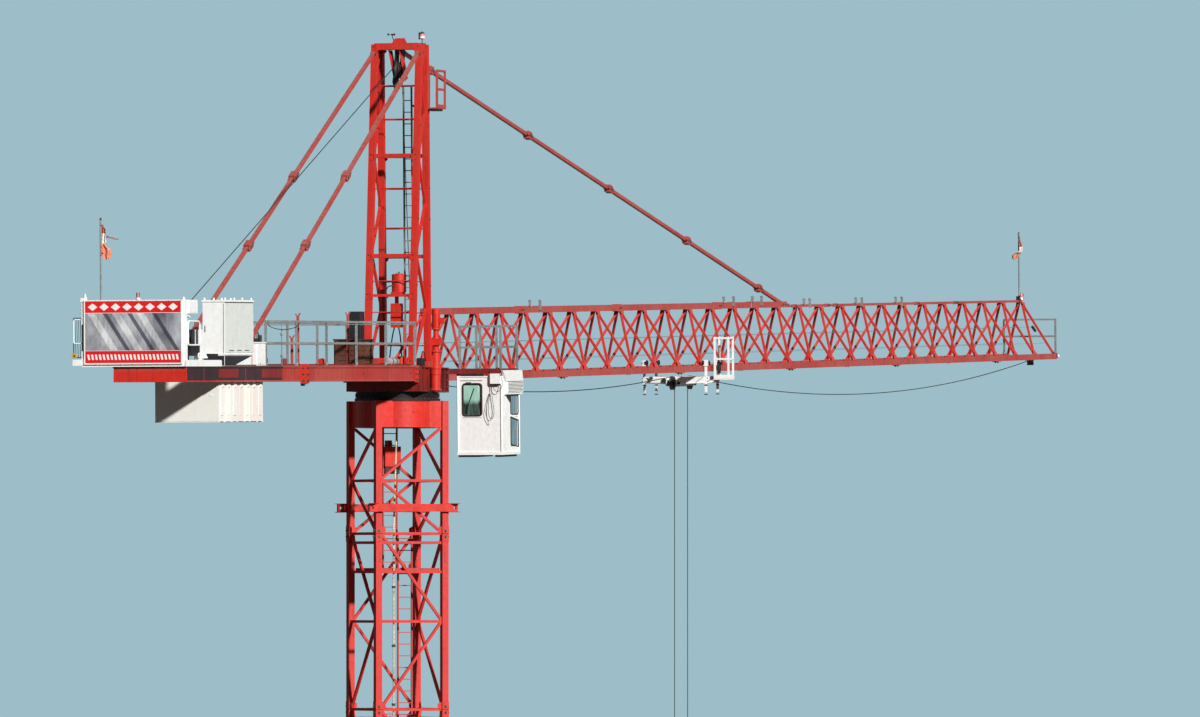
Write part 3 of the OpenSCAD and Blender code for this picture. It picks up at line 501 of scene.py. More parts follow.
# The ring's steel is dark, and it is darkened further to near black as painted shade, for the shadow it lies
# in under the platform.
dark_steel_and_shade = paint("dark_steel_and_shade", (13, 12, 13), (24, 20, 20), (0.7, 0.5, 0.2, 0.0, 0.65), (6, 6, 7))
dress(bright_red, "mast_top_drum")
dress(dark_steel_and_shade, "slewing_ring")
collar, marks, ring_bolts, teeth = Form(), Form(), Form(), Form()
for level in (14.861, 15.194):
    collar.tube(COLLAR * around(96) + level * Z, 0.006, 8, True)
for way in heading(np.radians((42, 132, 222, 312))):
    for shift in (-0.19, 0.16):
        seam = way * math.sqrt(COLLAR**2 - shift**2) + np.cross(Z, way) * shift
        collar.bar(seam + 14.87 * Z, seam + 15.185 * Z, 0.006, 0.004, way)
way = heading(math.radians(222))
marks.spin(way * 0.528 + 15.055 * Z, way, [(0.011, 0), (0.011, 0.004)], 16)
marks.spin(way * 0.528 + 15.085 * Z, way, [(0.006, 0), (0.006, 0.004)], 12)
ring_bolts.bolt(0.5405 * around(48) + 15.225 * Z, Z, 0.014)
for way in around(132):
    teeth.bar(way * 0.529 + 15.272 * Z, way * 0.541 + 15.272 * Z, 0.012, 0.05)
piece("collar_rims", collar, bright_red, 0, "mast")
piece("collar_marks", marks, black_steel, 0, "mast")
piece("slewing_ring_bolts", ring_bolts, bolts_steel, 0, "mast")
piece("slewing_ring_teeth", teeth, dark_steel_and_shade, 0, "mast")


# Slewing platform: a welded box with flanges, bolted end plates and a slot in each side, in a red
# darkened as painted shade from the counter-jib above it, with heavy streaks. A second pinion housing
# stands at its side, over the ring, and the upright gear motor on it has cooling fins, bolted flanges
# and a terminal box.

# The platform's red is darkened as painted shade for the counter-jib's shadow, with streaks and rust over it.
platform_red_and_shade = paint("platform_red_and_shade", (142, 36, 28), (84, 20, 18), (0.8, 0.8, 0.7, 0.1, 0.5), (30, 12, 12))
dress(platform_red_and_shade, "slewing_platform")
dress(bright_red, "slewing_motor")
RING_TOP, DECK, THICK = 15.315, 15.635, 0.014
MOTOR = Matrix.Translation((0.425, -0.375, DECK))
flanges, flange_bolts, side_slots = Form(), Form(), Form()
for side in (-1, 1):
    wall, rim = side * 0.475, side * 0.509
    for low in (RING_TOP, DECK - THICK):
        flanges.box((-0.525, wall, low), (0.55, rim, low + THICK))
    for x in (-0.523, 0.526):
        flanges.box((x, wall, RING_TOP + THICK), (x + 0.022, rim, DECK - THICK))
    flange_bolts.bolt(places(np.arange(-0.47, 0.54, 0.14), side * 0.493, RING_TOP + THICK), Z, 0.014)
    flange_bolts.bolt(places((-0.523, 0.526), side * 0.492, (15.385, 15.475, 15.565)), -X, 0.016)
    side_slots.box((-0.425, wall, 15.375), (-0.393, side * 0.4765, 15.525))
housing = [(0.075, 0), (0.08, 0.004), (0.08, 0.02), (0.062, 0.024), (0.062, 0.20)]
housing += [(0.07, 0.205), (0.07, 0.275), (0.08, 0.28), (0.08, 0.30)]
flanges.spin((-0.10, -0.553, RING_TOP + THICK), Z, housing, 32, 2)
flanges.box((0.21, -0.49, RING_TOP + THICK), (0.222, -0.475, DECK - THICK))
flanges.boxes([(0.535, -0.475, 15.395, 0.62, -0.445, 15.41), (0.535, -0.475, 15.41, 0.56, -0.445, 15.50)], 1)
piece("platform_flanges", flanges, (platform_red_and_shade, black_steel, bright_red), 0.002)
piece("platform_bolts", flange_bolts, bolts_steel)
piece("platform_slots", side_slots, black_steel)
motor, motor_bolts = Form(MOTOR), Form(MOTOR)
fin = [(0.0515, 0), (0.0585, 0.001), (0.0585, 0.006), (0.0515, 0.007)]
motor.spin(places(0, 0, np.arange(0.51, 0.70, 0.016)), Z, fin, 36)
motor.spin((0, 0, 0.729), Z, [(0.054, 0), (0.056, 0.006), (0.046, 0.026), (0.02, 0.034)], 32)
motor.box((-0.035, -0.095, 0.56), (0.035, -0.045, 0.64))
for level, radius, length in ((0, 0.085, 0.018), (0.365, 0.055, 0.014), (0.485, 0.062, 0.016)):
    motor.disc((0, 0, level), Z, radius, length)
motor_bolts.bolt(0.072 * around(8) + 0.018 * Z, Z, 0.012)
motor_bolts.bolt(0.066 * around(8) + 0.225 * Z, Z, 0.012)
motor_bolts.bolt(places((-0.055, 0.055), -0.0605, (0.3, 0.35)), -Y, 0.012)
piece("slewing_motor_fins", motor, bright_red, 0.0015)
piece("slewing_motor_bolts", motor_bolts, bolts_steel)


# Tower head: two leaning frames of square legs joined by cross bars and thin rods, with gussets and
# bolts at the joints. Black guides carry the head sheave between slanted cheek plates.

grey_paint = paint("grey_paint", (118, 122, 122), (146, 148, 144), (0.6, 0.4, 0.3, 0.3, 0.55))
white_paint = paint(
    "white_paint", (248, 248, 244), (244, 242, 234), (0.4, 0.07, 0.04, 0.06, 0.35), (150, 140, 128), coat=0.15
)
dress(mast_red, "head_rear_frame", "head_front_frame", "head_side_left", "head_side_right")
dress(black_steel, "rope_guides")
dress(grey_paint, "head_ladder")
HEAD, HALF_HEAD = 4.14, 0.302


def rear_x(rise):
    """Where the rear legs' middle stands at a height above the deck."""
    return -0.303 + 0.288 * rise / HEAD


def front_x(rise):
    """Where the front legs' middle stands at a height above the deck."""
    return 0.315 - 0.110 * rise / HEAD


head, head_bolts, rods = Form(), Form(), Form()
for leg_x, out, levels in ((rear_x, -1, (0.04, 0.9, 1.4, 2.69, 4.08)), (front_x, 1, (0.04, 1.4, 2.69, 4.08))):
    for rise in levels:
        for side in (-1, 1):
            at = np.array((leg_x(rise) + out * 0.041, side * HALF_HEAD, DECK + rise))
            gusset = [(0.03, -0.05), (0.03, 0.05), (0.065, 0.02), (0.065, -0.02)]
            head.plate(flat(at, -side * Y, Z, gusset), out * 0.006 * X)
            head_bolts.bolt(at + out * 0.001 * X + places(0, 0, (-0.035, 0.035)), out * X, 0.012)
    for rise in (0.55, 1.05, 1.9, 2.3, 3.1, 3.6):
        for side in (-1, 1):
            head_bolts.bolt((leg_x(rise), side * 0.343, DECK + rise), side * Y, 0.016)
    for rise in (0.28, 0.7, 1.1, 1.78, 2.29, 3.18, 3.61):
        rods.tube(places(leg_x(rise), (-0.27, 0, 0.27), DECK + rise), 0.007)
for low, high, lean in ((-0.15, -0.05, 0.03), (-0.04, 0.07, -0.02)):
    ends = [(low, 0), (high, 0), (high - 0.03 + lean, 0.075), (low + 0.01 + lean, 0.08)]
    head.plate(flat((-0.05, 0, DECK + HEAD), Y, Z, ends), 0.014 * X)
for shift in (-0.085, 0.06):
    ends = [(-0.03, shift + 0.05, 19.70), (0.12, shift + 0.05, 19.70)]
    head.plate(ends + [(0.10, shift - 0.02, 19.34), (0.0, shift - 0.02, 19.30)], 0.008 * Y)
rods.tube([(-0.36, -0.212, DECK), (-0.352, -0.212, DECK + 0.3), (-0.345, -0.212, DECK + 0.6)], 0.01)
piece("head_gussets", head, mast_red, 0.0015)
piece("head_bolts", head_bolts, bolts_steel)
piece("head_thin_rods", rods, mast_red)

sheave_block = Form()
sheave_block.disc((0.06, -0.075, 19.445), Y, 0.035, 0.15, 0.004, 24)
sheave_block.disc(places(0.06, (-0.03, 0.022), 19.445), Y, 0.118, 0.008, 0.003, 40)
swivel = [(0.012, 0), (0.04, 0.05), (0.045, 0.11), (0.012, 0.22), (0.004, 0.25)]
sheave_block.spin((0.0, 0.02, 19.40), (-0.12, 0, -1), swivel, 12)
sheave_block.bar((0.02, 0.02, 19.44), (-0.005, 0.02, 19.36), 0.016)
piece("head_sheave_fittings", sheave_block, black_steel, 0.001)

# Instruments on the head: a wind cup on a slanted stick, and a beacon of dark, white and pink glass.

beacon_pink = paint("beacon_pink", (214, 120, 120), (228, 160, 156), (0.4, 0.2, 0.0, 0.1, 0.25), coat=0.4)
wind, beacon = Form(), Form()
HUB, LAMP = np.array((-0.015, 0.075, 19.902)), np.array((0.098, -0.3, 19.84))
wind.tube([(-0.03, 0.03, 19.775), (-0.022, 0.05, 19.84), (-0.015, 0.075, 19.905)], 0.006)
for way in heading((0.2, 2.3, 4.4)):
    wind.bar(HUB, HUB + way * 0.045, 0.004)
    cup = [(0.016, 0), (0.014, 0.008), (0.008, 0.014), (0.002, 0.016)]
    wind.spin(HUB + way * 0.045, np.cross(way, Z), cup, 12)
wind.spin(HUB - 0.007 * Z, Z, [(0.008, 0), (0.01, 0.01), (0.004, 0.018)], 12)
piece("wind_cups", wind, black_steel)
beacon.tube(LAMP + places(0, 0, (-0.065, -0.04, 0.002)), 0.006, mark=2)
beacon.spin(LAMP, Z, [(0.012, 0), (0.034, 0.012), (0.038, 0.04)])
beacon.spin(LAMP + 0.04 * Z, Z, [(0.037, 0), (0.034, 0.03)], 24, 1)
beacon.spin(LAMP + 0.07 * Z, Z, [(0.034, 0), (0.02, 0.022), (0.006, 0.03)], 24, 2)
beacon.bar(LAMP + 0.038 * Y, LAMP + (0, 0.038, 0.09), 0.012, 0.03, mark=2)
piece("head_beacon", beacon, (white_paint, beacon_pink, black_steel))


def smooth(points, steps=6):
    """A Catmull-Rom curve through points, worked out for all its spans at once."""
    points = np.asarray(points, float)
    padded = np.concatenate([[2 * points[0] - points[1]], points, [2 * points[-1] - points[-2]]])
    a, b, c, d = (padded[k : len(points) - 1 + k, None] for k in range(4))
    t = np.linspace(0, 1, steps, endpoint=False)[None, :, None]
    curve = b + 0.5 * t * (c - a + t * (2 * a - 5 * b + 4 * c - d + t * (3 * (b - c) + d - a)))
    return np.concatenate([curve.reshape(-1, 3), points[-1:]])


def world_points(place, points):
    """Points of a frame as points of the world."""
    return np.array([tuple(place @ Vector(point)) for point in np.asarray(points).tolist()])


def cord(name, path, diameter, material, body="upper"):
    """A round hanging cord along a path, made into a piece."""
    form = Form()
    form.tube(path, diameter / 2, 8)
    made = piece(name, form, material, 0, body)
    path = [tuple(point) for point in path.tolist()]
    return made


black_cable = twisted("black_cable", (36, 36, 38), (18, 18, 20), 0.0, 26.0)
rubber = paint("rubber", (24, 25, 25), (44, 44, 43), (0.6, 0.3, 0.0, 0.4, 0.7), (12, 12, 12))
drop = [(0.165, -0.27, 19.55), (0.15, -0.25, 19.50), (0.13, -0.215, 19.43), (0.10, -0.235, 19.33)]
drop += [(0.07, -0.232, 19.22), (0.05, -0.23, 19.10), (0.045, -0.23, 19.0)]
cord("head_cable", smooth(drop), 0.014, black_cable)
boot = Form()
boot.box((0.02, -0.262, 18.965), (0.07, -0.205, 19.0))
boot.bar((0.045, -0.262, 18.975), (0.045, -0.17, 18.99), 0.05, 0.022)
boot.tube([(0.045, -0.262, 18.97), (0.1, -0.28, 18.97), (0.17, -0.3, 18.97)], 0.008)
piece("head_cable_boot", boot, rubber, 0.002)

# Service cage and small rope winch on the head: red angle frames, a slatted floor, and an upright
# can with rims and a bolted lid, over a hanging motor with dark legs.

chord_red = paint("chord_red", (174, 66, 60), (178, 94, 88), (0.7, 0.2, 0.5, 0.2, 0.55))
rope_finish = twisted("wire_rope", (98, 104, 106), (34, 36, 38), 0.5, 40.0)
dress(chord_red, "head_service_cage")
dress(bright_red, "service_winch")
cage, small_winch = Form(), Form()
for x in np.arange(0.215, 0.52, 0.034):
    cage.bar((x, -0.472, 18.969), (x, -0.345, 18.969), 0.012, 0.004)
cage.box((0.2, -0.477, 18.925), (0.39, -0.345, 18.954), 1)
cage.boxes([(0.2, -0.479, 18.967, 0.525, -0.475, 19.01), (0.523, -0.475, 18.967, 0.527, -0.342, 19.01)])
piece("service_cage_floor", cage, (chord_red, black_steel))
CAN = np.array((-0.11, -0.06, 0))
RIMS = ((16.593, 0.085, 0.022), (16.615, 0.096, 0.012), (16.81, 0.0965, 0.012), (16.82, 0.05, 0.014))
for level, radius, length in RIMS:
    small_winch.disc(CAN + level * Z, Z, radius, length, 0.003, 40)
small_winch.disc(CAN + 16.834 * Z, Z, 0.012, 0.022, 0.004, 16, 1)
small_winch.bolt(CAN + 0.075 * around(8) + 16.82 * Z, Z, 0.012, 1)
small_winch.stand(places(CAN[0], (-0.102, 0.042), 16.16), (0.03, 0.004), 0.27, 1)
small_winch.bolt(places(-0.15, (-0.07, 0.01), (16.19, 16.27, 16.35)), -X, 0.016, 1)
handle = [(-0.17, 0.0, 16.68), (-0.215, 0.05, 16.66), (-0.225, 0.075, 16.60), (-0.2, 0.06, 16.52)]
small_winch.tube(smooth(handle), 0.008, mark=2)
for foot, end in ((-0.06, -0.12), (0.0, 0.06)):
    rod = [(-0.12, foot, 16.14), (-0.13, (foot + end) / 2, 15.98), (-0.16, end, 15.66)]
    small_winch.tube(smooth(rod), 0.009, mark=2)
piece("service_winch_parts", small_winch, (bright_red, bolts_steel, black_steel), 0.001)

# Odds and ends at the head's foot: cable boxes, a coil holder, a bottle and bent brackets.

foot_parts = Form(Matrix.Translation((0, 0, DECK)))
foot_parts.box((-0.28, -0.43, 0), (-0.16, -0.36, 0.11))
foot_parts.boxes([(-0.10, -0.45, 0, 0.05, -0.37, 0.07), (-0.49, 0.1, 0, -0.40, 0.26, 0.1)], 1)
foot_parts.box((0.10, -0.42, 0), (0.19, -0.35, 0.15), 3)
foot_parts.disc((-0.42, -0.2, 0), Z, 0.045, 0.13, 0.01, 24, 3)
bent = [(-0.22, -0.40, 0.1), (-0.2, -0.41, 0.19), (-0.12, -0.41, 0.17), (-0.06, -0.41, 0.06)]
foot_parts.tube(smooth(bent), 0.007)
for foot in places((-0.303, 0.315), (-HALF_HEAD, HALF_HEAD), 0):
    foot_parts.stand(foot, 0.07, 0.012, 3)
    foot_parts.bolt(foot + places((-0.056, 0.056), (-0.056, 0.056), 0.012), Z, 0.016)
piece("head_foot_parts", foot_parts, (black_steel, beam_red, white_paint, bright_red), 0.002)


# Ties: square bars between pinned knuckles, one to the jib and a pair to the counter-jib. Each
# knuckle has two cross pins with collars, and a thin strap over the joint.

JIB = turned((0.55, 0, 15.505), -1.6, "Y")
COUNTER = turned((-0.525, 0, 15.635), -1.0, "Y")
dress(chord_red, "front_tie", "rear_ties")
pins, straps = Form(), Form()


def knuckle_pins(start, end, fractions):
    """Two cross pins and a strap at each knuckle, at fractions of the way along a tie."""
    start, end = np.asarray(start, float), np.asarray(end, float)
    run = np.linalg.norm(end - start)
    along = (end - start) / run
    across = np.cross(along, Z)
    across /= np.linalg.norm(across)
    for fraction in fractions:
        middle = start + along * run * fraction
        for pin in (middle - 0.034 * along, middle + 0.034 * along):
            pins.disc(pin - across * 0.054, across, 0.016, 0.108, 0.003, 20)
            pins.disc(pin - across * 0.046, across, 0.024, 0.092, 0.002, 20)
        for at in (middle - across * 0.0405, middle + across * 0.0405):
            straps.bar(at - along * 0.11, at + along * 0.11, 0.008, 0.034, np.cross(across, along))
    for at in (start + along * 0.02, end - along * 0.02):
        pins.disc(at - across * 0.036, across, 0.022, 0.072, 0.003, 20)


knuckle_pins((0.21, 0, 19.68), JIB @ Vector((15.65, 0, 0.85)), (0.065, 0.31, 0.52, 0.73, 0.93))
for side in (-1, 1):
    knuckle_pins((-0.06, side * HALF_HEAD, 19.665), (-6.605, side * 0.415, 15.859), (0.44, 0.68))
piece("tie_pins", pins, bolts_steel)
piece("tie_straps", straps, chord_red, 0.002)


# Counter-jib: two deep side beams with cross members in faded red, with a bolted splice, end plates
# and hanging boxes. Thin dark and maroon plates on the beams' outer faces are painted shade from the
# deck above. The deck is grating with kick strips.

# This near-black finish is painted shade on the beams' outer faces.
painted_web_shade = paint("painted_web_shade", (48, 32, 36), (70, 42, 46), (0.7, 0.6, 0.4, 0.3, 0.6), (24, 18, 20))
dress(beam_red, "counter_jib_beams")
dress(floor_grating, "counter_jib_deck")
BEAM_FACE = 0.475
# Rows: x from and to, z from and to, thickness out from the beam face, finish mark. Marks 1 and 2 are painted
# shade under the deck's edge: near black (1), with maroon patches of half shade (2).
PANELS = [
    (-8.475, -5.10, -0.170, -0.018, 0.003, 1),
    (-7.38, -6.68, -0.14, -0.03, 0.006, 2),
    (-5.84, -5.12, -0.14, -0.03, 0.006, 2),
    (-7.45, -0.02, -0.19, -0.172, 0.012, 3),
    (-8.48, -5.10, -0.018, 0.0, 0.012, 1),
    (-5.10, -0.02, -0.018, 0.0, 0.012, 0),
    (-4.445, -4.155, -0.215, 0.03, 0.016, 4),
    (-0.17, -0.03, -0.205, 0.0, 0.014, 4),
]
PANELS += [(x, x + 0.010, -0.172, -0.018, 0.004, 0) for x in np.arange(-7.9, -0.5, 1.48)]
beams, beam_bolts, kicks = Form(COUNTER), Form(COUNTER), Form(COUNTER)
for side in (-1, 1):
    face, out = side * BEAM_FACE, side * Y
    for x0, x1, z0, z1, thick, mark in PANELS:
        beams.box((x0, face, z0), (x1, face + side * thick, z1), mark)
    splice = places((-4.415, -4.365, -4.235, -4.185), face + side * 0.016, (-0.18, -0.10, -0.02))
    beam_bolts.bolt(splice, out)
    beam_bolts.bolt(places((-0.14, -0.06), face + side * 0.014, (-0.17, -0.10, -0.03)), out)
    beam_bolts.disc(places((-3.95, -0.32, -2.1), face, -0.09), out, 0.014, 0.004)
    kicks.box((-5.65, side * 0.434, 0.01), (-0.11, side * 0.438, 0.03))
    kicks.stand(places(np.arange(-5.59, -0.1, 0.5), side * 0.43, 0.01), (0.01, 0.004), 0.017)
beams.boxes([(-8.486, -0.475, -0.19, -8.48, 0.475, -0.055), (-8.489, -0.475, -0.19, -8.48, 0.475, -0.18)], 4)
beams.stand(places(-8.485, (-0.46, -0.16, 0.16, 0.46), -0.18), (0.005, 0.006), 0.125, 4)
beams.boxes([(-4.33, -0.475, -0.245, -4.27, -0.44, -0.19), (-4.24, -0.475, -0.225, -4.20, -0.44, -0.19)], 5)
finishes = (beam_red, painted_web_shade, deep_red, chord_red, bright_red, black_steel)
piece("counter_jib_panels", beams, finishes, 0.001)
piece("counter_jib_bolts", beam_bolts, bolts_steel)
piece("deck_kick_strips", kicks, deep_red)


# Railings: zinc-coated tubes on bolted feet. Forked posts, a thin line under the top rail and a
# slack signal cable hang on them, and small boxes and a bundle lie on the deck.


def galvanised():
    """Zinc with its crystal pattern, dulled by weather."""
    made, tree, shader = finish("galvanised", 0.3)
    place = object_place(tree)
    flake = put(tree, "TexVoronoi", {"Vector": place, "Scale": 55.0}).outputs["Color"]
    level = put(tree, "SeparateColor", {0: flake}).outputs[0]
    color = blend(tree, ramp(tree, level, 0, 1, 0.15, 0.8), srgb(136, 142, 142), srgb(172, 178, 176))
    worn = ramp(tree, noise(tree, place, 1.4, 6, 0.65), 0.42, 0.66)
    surface(tree, shader, blend(tree, worn, color, srgb(132, 130, 124)), ramp(tree, level, 0, 1, 0.34, 0.6))
    return made


zinc = galvanised()
dress(zinc, "counter_jib_railings")
posts, small = Form(COUNTER), Form(COUNTER)
for side in (-1, 1):
    feet = np.linspace(-5.637, -0.123, 6)
    posts.stand(places(feet, side * 0.44, 0.01), 0.03, 0.008)
    posts.disc(places(feet, side * 0.462, 0.018), Z, 0.02, 0.03, 0.003, 16)
    posts.tube([(-5.55, side * 0.462, 0.53), (-2.8, side * 0.462, 0.526), (-0.13, side * 0.462, 0.53)], 0.005)
for x, top in ((-4.255, 0.39), (-4.035, 0.667), (-2.185, 0.69)):
    fork = np.array((x, -0.3, 0))
    small.bar(fork + 0.01 * Z, fork + (top - 0.05) * Z, 0.03)
    small.bar(fork + (top - 0.06) * Z, fork + (0, -0.03, top), 0.016)
    small.bar(fork + (top - 0.06) * Z, fork + (0, 0.03, top - 0.01), 0.016)
    small.stand(fork + 0.01 * Z, 0.03, 0.01)
posts.disc(places(-5.07, -0.462, (0.11, 0.38)), Z, 0.018, 0.03, 0.005, 14)
posts.tube(places(-5.07, -0.462, (0.01, 0.3, 0.545)), 0.007)
small.box((-3.40, -0.40, 0.01), (-3.32, -0.335, 0.09), 1)
small.box((-3.39, -0.39, 0.09), (-3.33, -0.345, 0.1))
small.box((-5.45, -0.40, 0.01), (-5.40, -0.33, 0.1), 2)
small.disc((-4.72, -0.36, 0.01), Z, 0.035, 0.09, 0.008, 18, 2)
piece("railing_feet", posts, zinc, 0.001)
piece("deck_boxes_and_posts", small, (chord_red, bright_red, deep_red), 0.003)
signal = [(-5.62, -0.475, 0.545), (-5.56, -0.478, 0.50), (-5.35, -0.478, 0.468), (-5.02, -0.478, 0.455)]
signal += [(-4.7, -0.478, 0.475), (-4.53, -0.478, 0.505), (-4.46, -0.475, 0.545)]
cord("railing_cable", world_points(COUNTER, smooth(signal)), 0.01, black_cable)

# Bundle on the deck: a rolled pale sheet with two straps, lying by the foot of the head.

bundle = Form(COUNTER)
roll = [(0.012, 0), (0.04, 0.004), (0.05, 0.02), (0.053, 0.1), (0.049, 0.2), (0.052, 0.3)]
roll += [(0.045, 0.345), (0.012, 0.35)]
bundle.spin((-1.0, -0.40, 0.058), X, roll, 20)
strap = [(0.051, 0), (0.0545, 0.002), (0.0545, 0.018), (0.051, 0.02)]
bundle.spin(places((-0.91, -0.75), -0.40, 0.058), X, strap, 20, 1)
pale_blue = paint("pale_blue", (158, 150, 154), (186, 168, 166), (0.5, 0.3, 0.0, 0.2, 0.6), (120, 120, 130))
piece("deck_bundle", bundle, (pale_blue, rubber))


# Tool crate: weathered boards nailed to corner battens, under a dark lid, with a slanted brace.


def speckle(tree, place, scale):
    """The distance to the nearest of many points strewn at random, as a share of their spacing."""
    return put(tree, "TexVoronoi", {"Vector": place, "Scale": scale}).outputs["Distance"]


def timber(name, pale, deep):
    """Sawn boards with long grain, knots and greyed patches."""
    made, tree, shader = finish(name)
    place = object_place(tree)
    fibre = noise(tree, place, (3, 60, 60), 8, 0.7)
    color = blend(tree, ramp(tree, fibre, 0.3, 0.7), srgb(*pale), srgb(*deep))
    grey = times(tree, ramp(tree, noise(tree, place, 3.5, 4), 0.45, 0.7), 0.3)
    color = blend(tree, grey, color, srgb(112, 94, 80))
    knots = ramp(tree, speckle(tree, place, 9.0), 0.05, 0.11)
    color = blend(tree, ramp(tree, knots, 0, 1, 0.8, 0), color, srgb(58, 36, 24))
    surface(tree, shader, color, ramp(tree, fibre, 0.3, 0.7, 0.65, 0.9), fibre, 0.5, 0.003)
    return made


wood = timber("crate_wood", (112, 60, 36), (58, 28, 18))
dark_wood = timber("lid_wood", (70, 54, 44), (40, 30, 26))
dress(wood, "tool_crate")
boards = Form(COUNTER)
for z in 0.014 + 0.062 * np.arange(5):
    boards.boxes([(x, -0.158, z, x + 0.008, 0.158, z + 0.056) for x in (-1.408, -0.875)])
    boards.boxes([(-1.4, y, z, -0.875, y + 0.008, z + 0.056) for y in (-0.163, 0.155)])
for y in (-0.173, 0.163):
    boards.boxes([(x, y, 0.012, x + 0.045, y + 0.010, 0.328) for x in (-1.4, -0.92)])
    boards.bar((-1.35, y + 0.005, 0.03), (-0.93, y + 0.005, 0.31), 0.01, 0.04)
boards.boxes([(-1.418, y, 0.012, -1.408, y + 0.042, 0.328) for y in (-0.155, 0.113)])
boards.box((-1.42, -0.18, 0.33), (-0.86, 0.18, 0.348), 1)
piece("crate_boards", boards, (wood, dark_wood), 0.002)

# Work light: a black housing with cooling fins, a frame round its lens, and a hinged yoke.

dress(black_steel, "work_light")
lamp = Form(COUNTER)
lamp.boxes([(-0.782, 0.05, z, -0.775, 0.19, z + 0.008) for z in np.arange(0.37, 0.68, 0.03)])
lamp.box((-0.625, 0.055, 0.36), (-0.617, 0.185, 0.68), 1)
lamp.boxes([(-0.627, y, 0.34, -0.612, y + 0.01, 0.7) for y in (0.04, 0.19)])
lamp.boxes([(-0.627, 0.05, z, -0.612, 0.19, z + 0.01) for z in (0.34, 0.69)])
for side, y in ((-1, 0.039), (1, 0.201)):
    lamp.bar((-0.7, y, 0.3), (-0.7, y, 0.52), 0.006, 0.03, X)
    lamp.bolt((-0.7, y, 0.5), side * Y, 0.018)
piece("work_light_frame", lamp, (black_steel, grey_paint), 0.001)


# Ballast: seven cast slabs painted cream, white, pale grey and pinkish, hung side by side. Their
# feet are uneven, their edges are chamfered, and steel hooks hold them to the beams.

SLAB, SLABS_START = 0.226, -7.742


def concrete():
    """Painted cast concrete: one tint for each slab, with pores, stains and rain runs."""
    made, tree, shader = finish("ballast_concrete")
    place = object_place(tree)
    along = put(tree, "SeparateXYZ", {0: place}).outputs[0]
    slab = reckon(tree, "FLOOR", reckon(tree, "DIVIDE", reckon(tree, "ADD", along, -SLABS_START), SLAB))
    chance = put(tree, "TexWhiteNoise", {"W": slab}, noise_dimensions="1D").outputs["Value"]
    color = blend(tree, ramp(tree, chance, 0.2, 0.8), srgb(250, 247, 234), srgb(234, 232, 226))
    pinkish = ramp(tree, reckon(tree, "FRACT", times(tree, chance, 7.3)), 0.55, 0.8, 0, 0.7)
    pore = ramp(tree, speckle(tree, place, 42.0), 0.1, 0.22)
    layers = (
        (pinkish, (240, 222, 212)),
        (ramp(tree, noise(tree, place, 2.2, 6, 0.7), 0.46, 0.72, 0, 0.3), (222, 214, 196)),
        (ramp(tree, noise(tree, place, (22, 22, 1.4), 5), 0.56, 0.76, 0, 0.22), (150, 136, 118)),
        (ramp(tree, pore, 0, 1, 0.3, 0), (150, 138, 120)),
    )
    for amount, tint in layers:
        color = blend(tree, amount, color, srgb(*tint))
    rough = noise(tree, place, 60, 8, 0.7)
    height = reckon(tree, "ADD", pore, times(tree, rough, 0.4))
    surface(tree, shader, color, ramp(tree, rough, 0.3, 0.7, 0.75, 0.95), height, 0.4, 0.004)
    return made


ballast_finish = concrete()
dress(ballast_finish, "ballast_slabs")
slabs, hooks = Form(COUNTER), Form(COUNTER)
uneven = ((0, 0), (0.006, 0.004), (0.002, 0.0), (0.01, 0.006), (0.004, 0.001), (0.012, 0.004), (0, 0))
for x, (drop, inset) in zip(-7.21 + SLAB * np.arange(7), uneven):
    for edge in (x, x + 0.19):
        slabs.box((edge, -0.42 + inset, -0.685 + drop), (edge + 0.028, 0.42 - inset, -0.672))
    for side in (-1, 1):
        slabs.box((x + 0.06, side * 0.41, -0.60), (x + 0.16, side * (0.4235 - inset), -0.25))
        hooks.box((x + 0.08, side * 0.40, -0.26), (x + 0.14, side * 0.43, -0.19))
        hooks.bolt((x + 0.11, side * 0.43, -0.235), side * Y, 0.022)
for y, z in ((0.0, -0.30), (-0.27, -0.315), (-0.31, -0.345), (-0.335, -0.36)):
    hooks.disc((-7.2105, y, z), -X, 0.012, 0.003, 0.001, 16)
piece("ballast_ridges", slabs, ballast_finish, 0.004)
piece("ballast_hooks", hooks, white_paint, 0.002)


# Winch frame at the rear end: white square posts and rails round the hoist winch, with a loop guard,
# cable boxes and lamps on its sides, and a bead chain and guard frames at the left.

dress(white_paint, "winch_frame", "winch_motor", "sign_board", "electric_cabinets")
dress(rope_finish, "winch_drum", "hoist_rope")


def rounded(low, high, radius, steps=5):
    """A rectangle with round corners: quarter circles about the four corner centres."""
    turn = np.linspace(0, math.pi / 2, steps)[None] + (np.arange(4) * math.pi / 2)[:, None]
    signs = np.array([(1, 1), (-1, 1), (-1, -1), (1, -1)])
    middle, half = np.add(low, high) / 2, np.subtract(high, low) / 2 - radius
    spots = middle + signs[:, None] * half + radius * np.stack([np.cos(turn), np.sin(turn)], -1)
    return spots.reshape(-1, 2)


def side_on(x, spots):
    """A flat outline of (y, z), set upright at a level of X."""
    return flat(x * X, Y, Z, spots)


def front_on(y, spots):
    """A flat outline of (x, z), set upright at a level of Y."""
    return flat(y * Y, X, Z, spots)


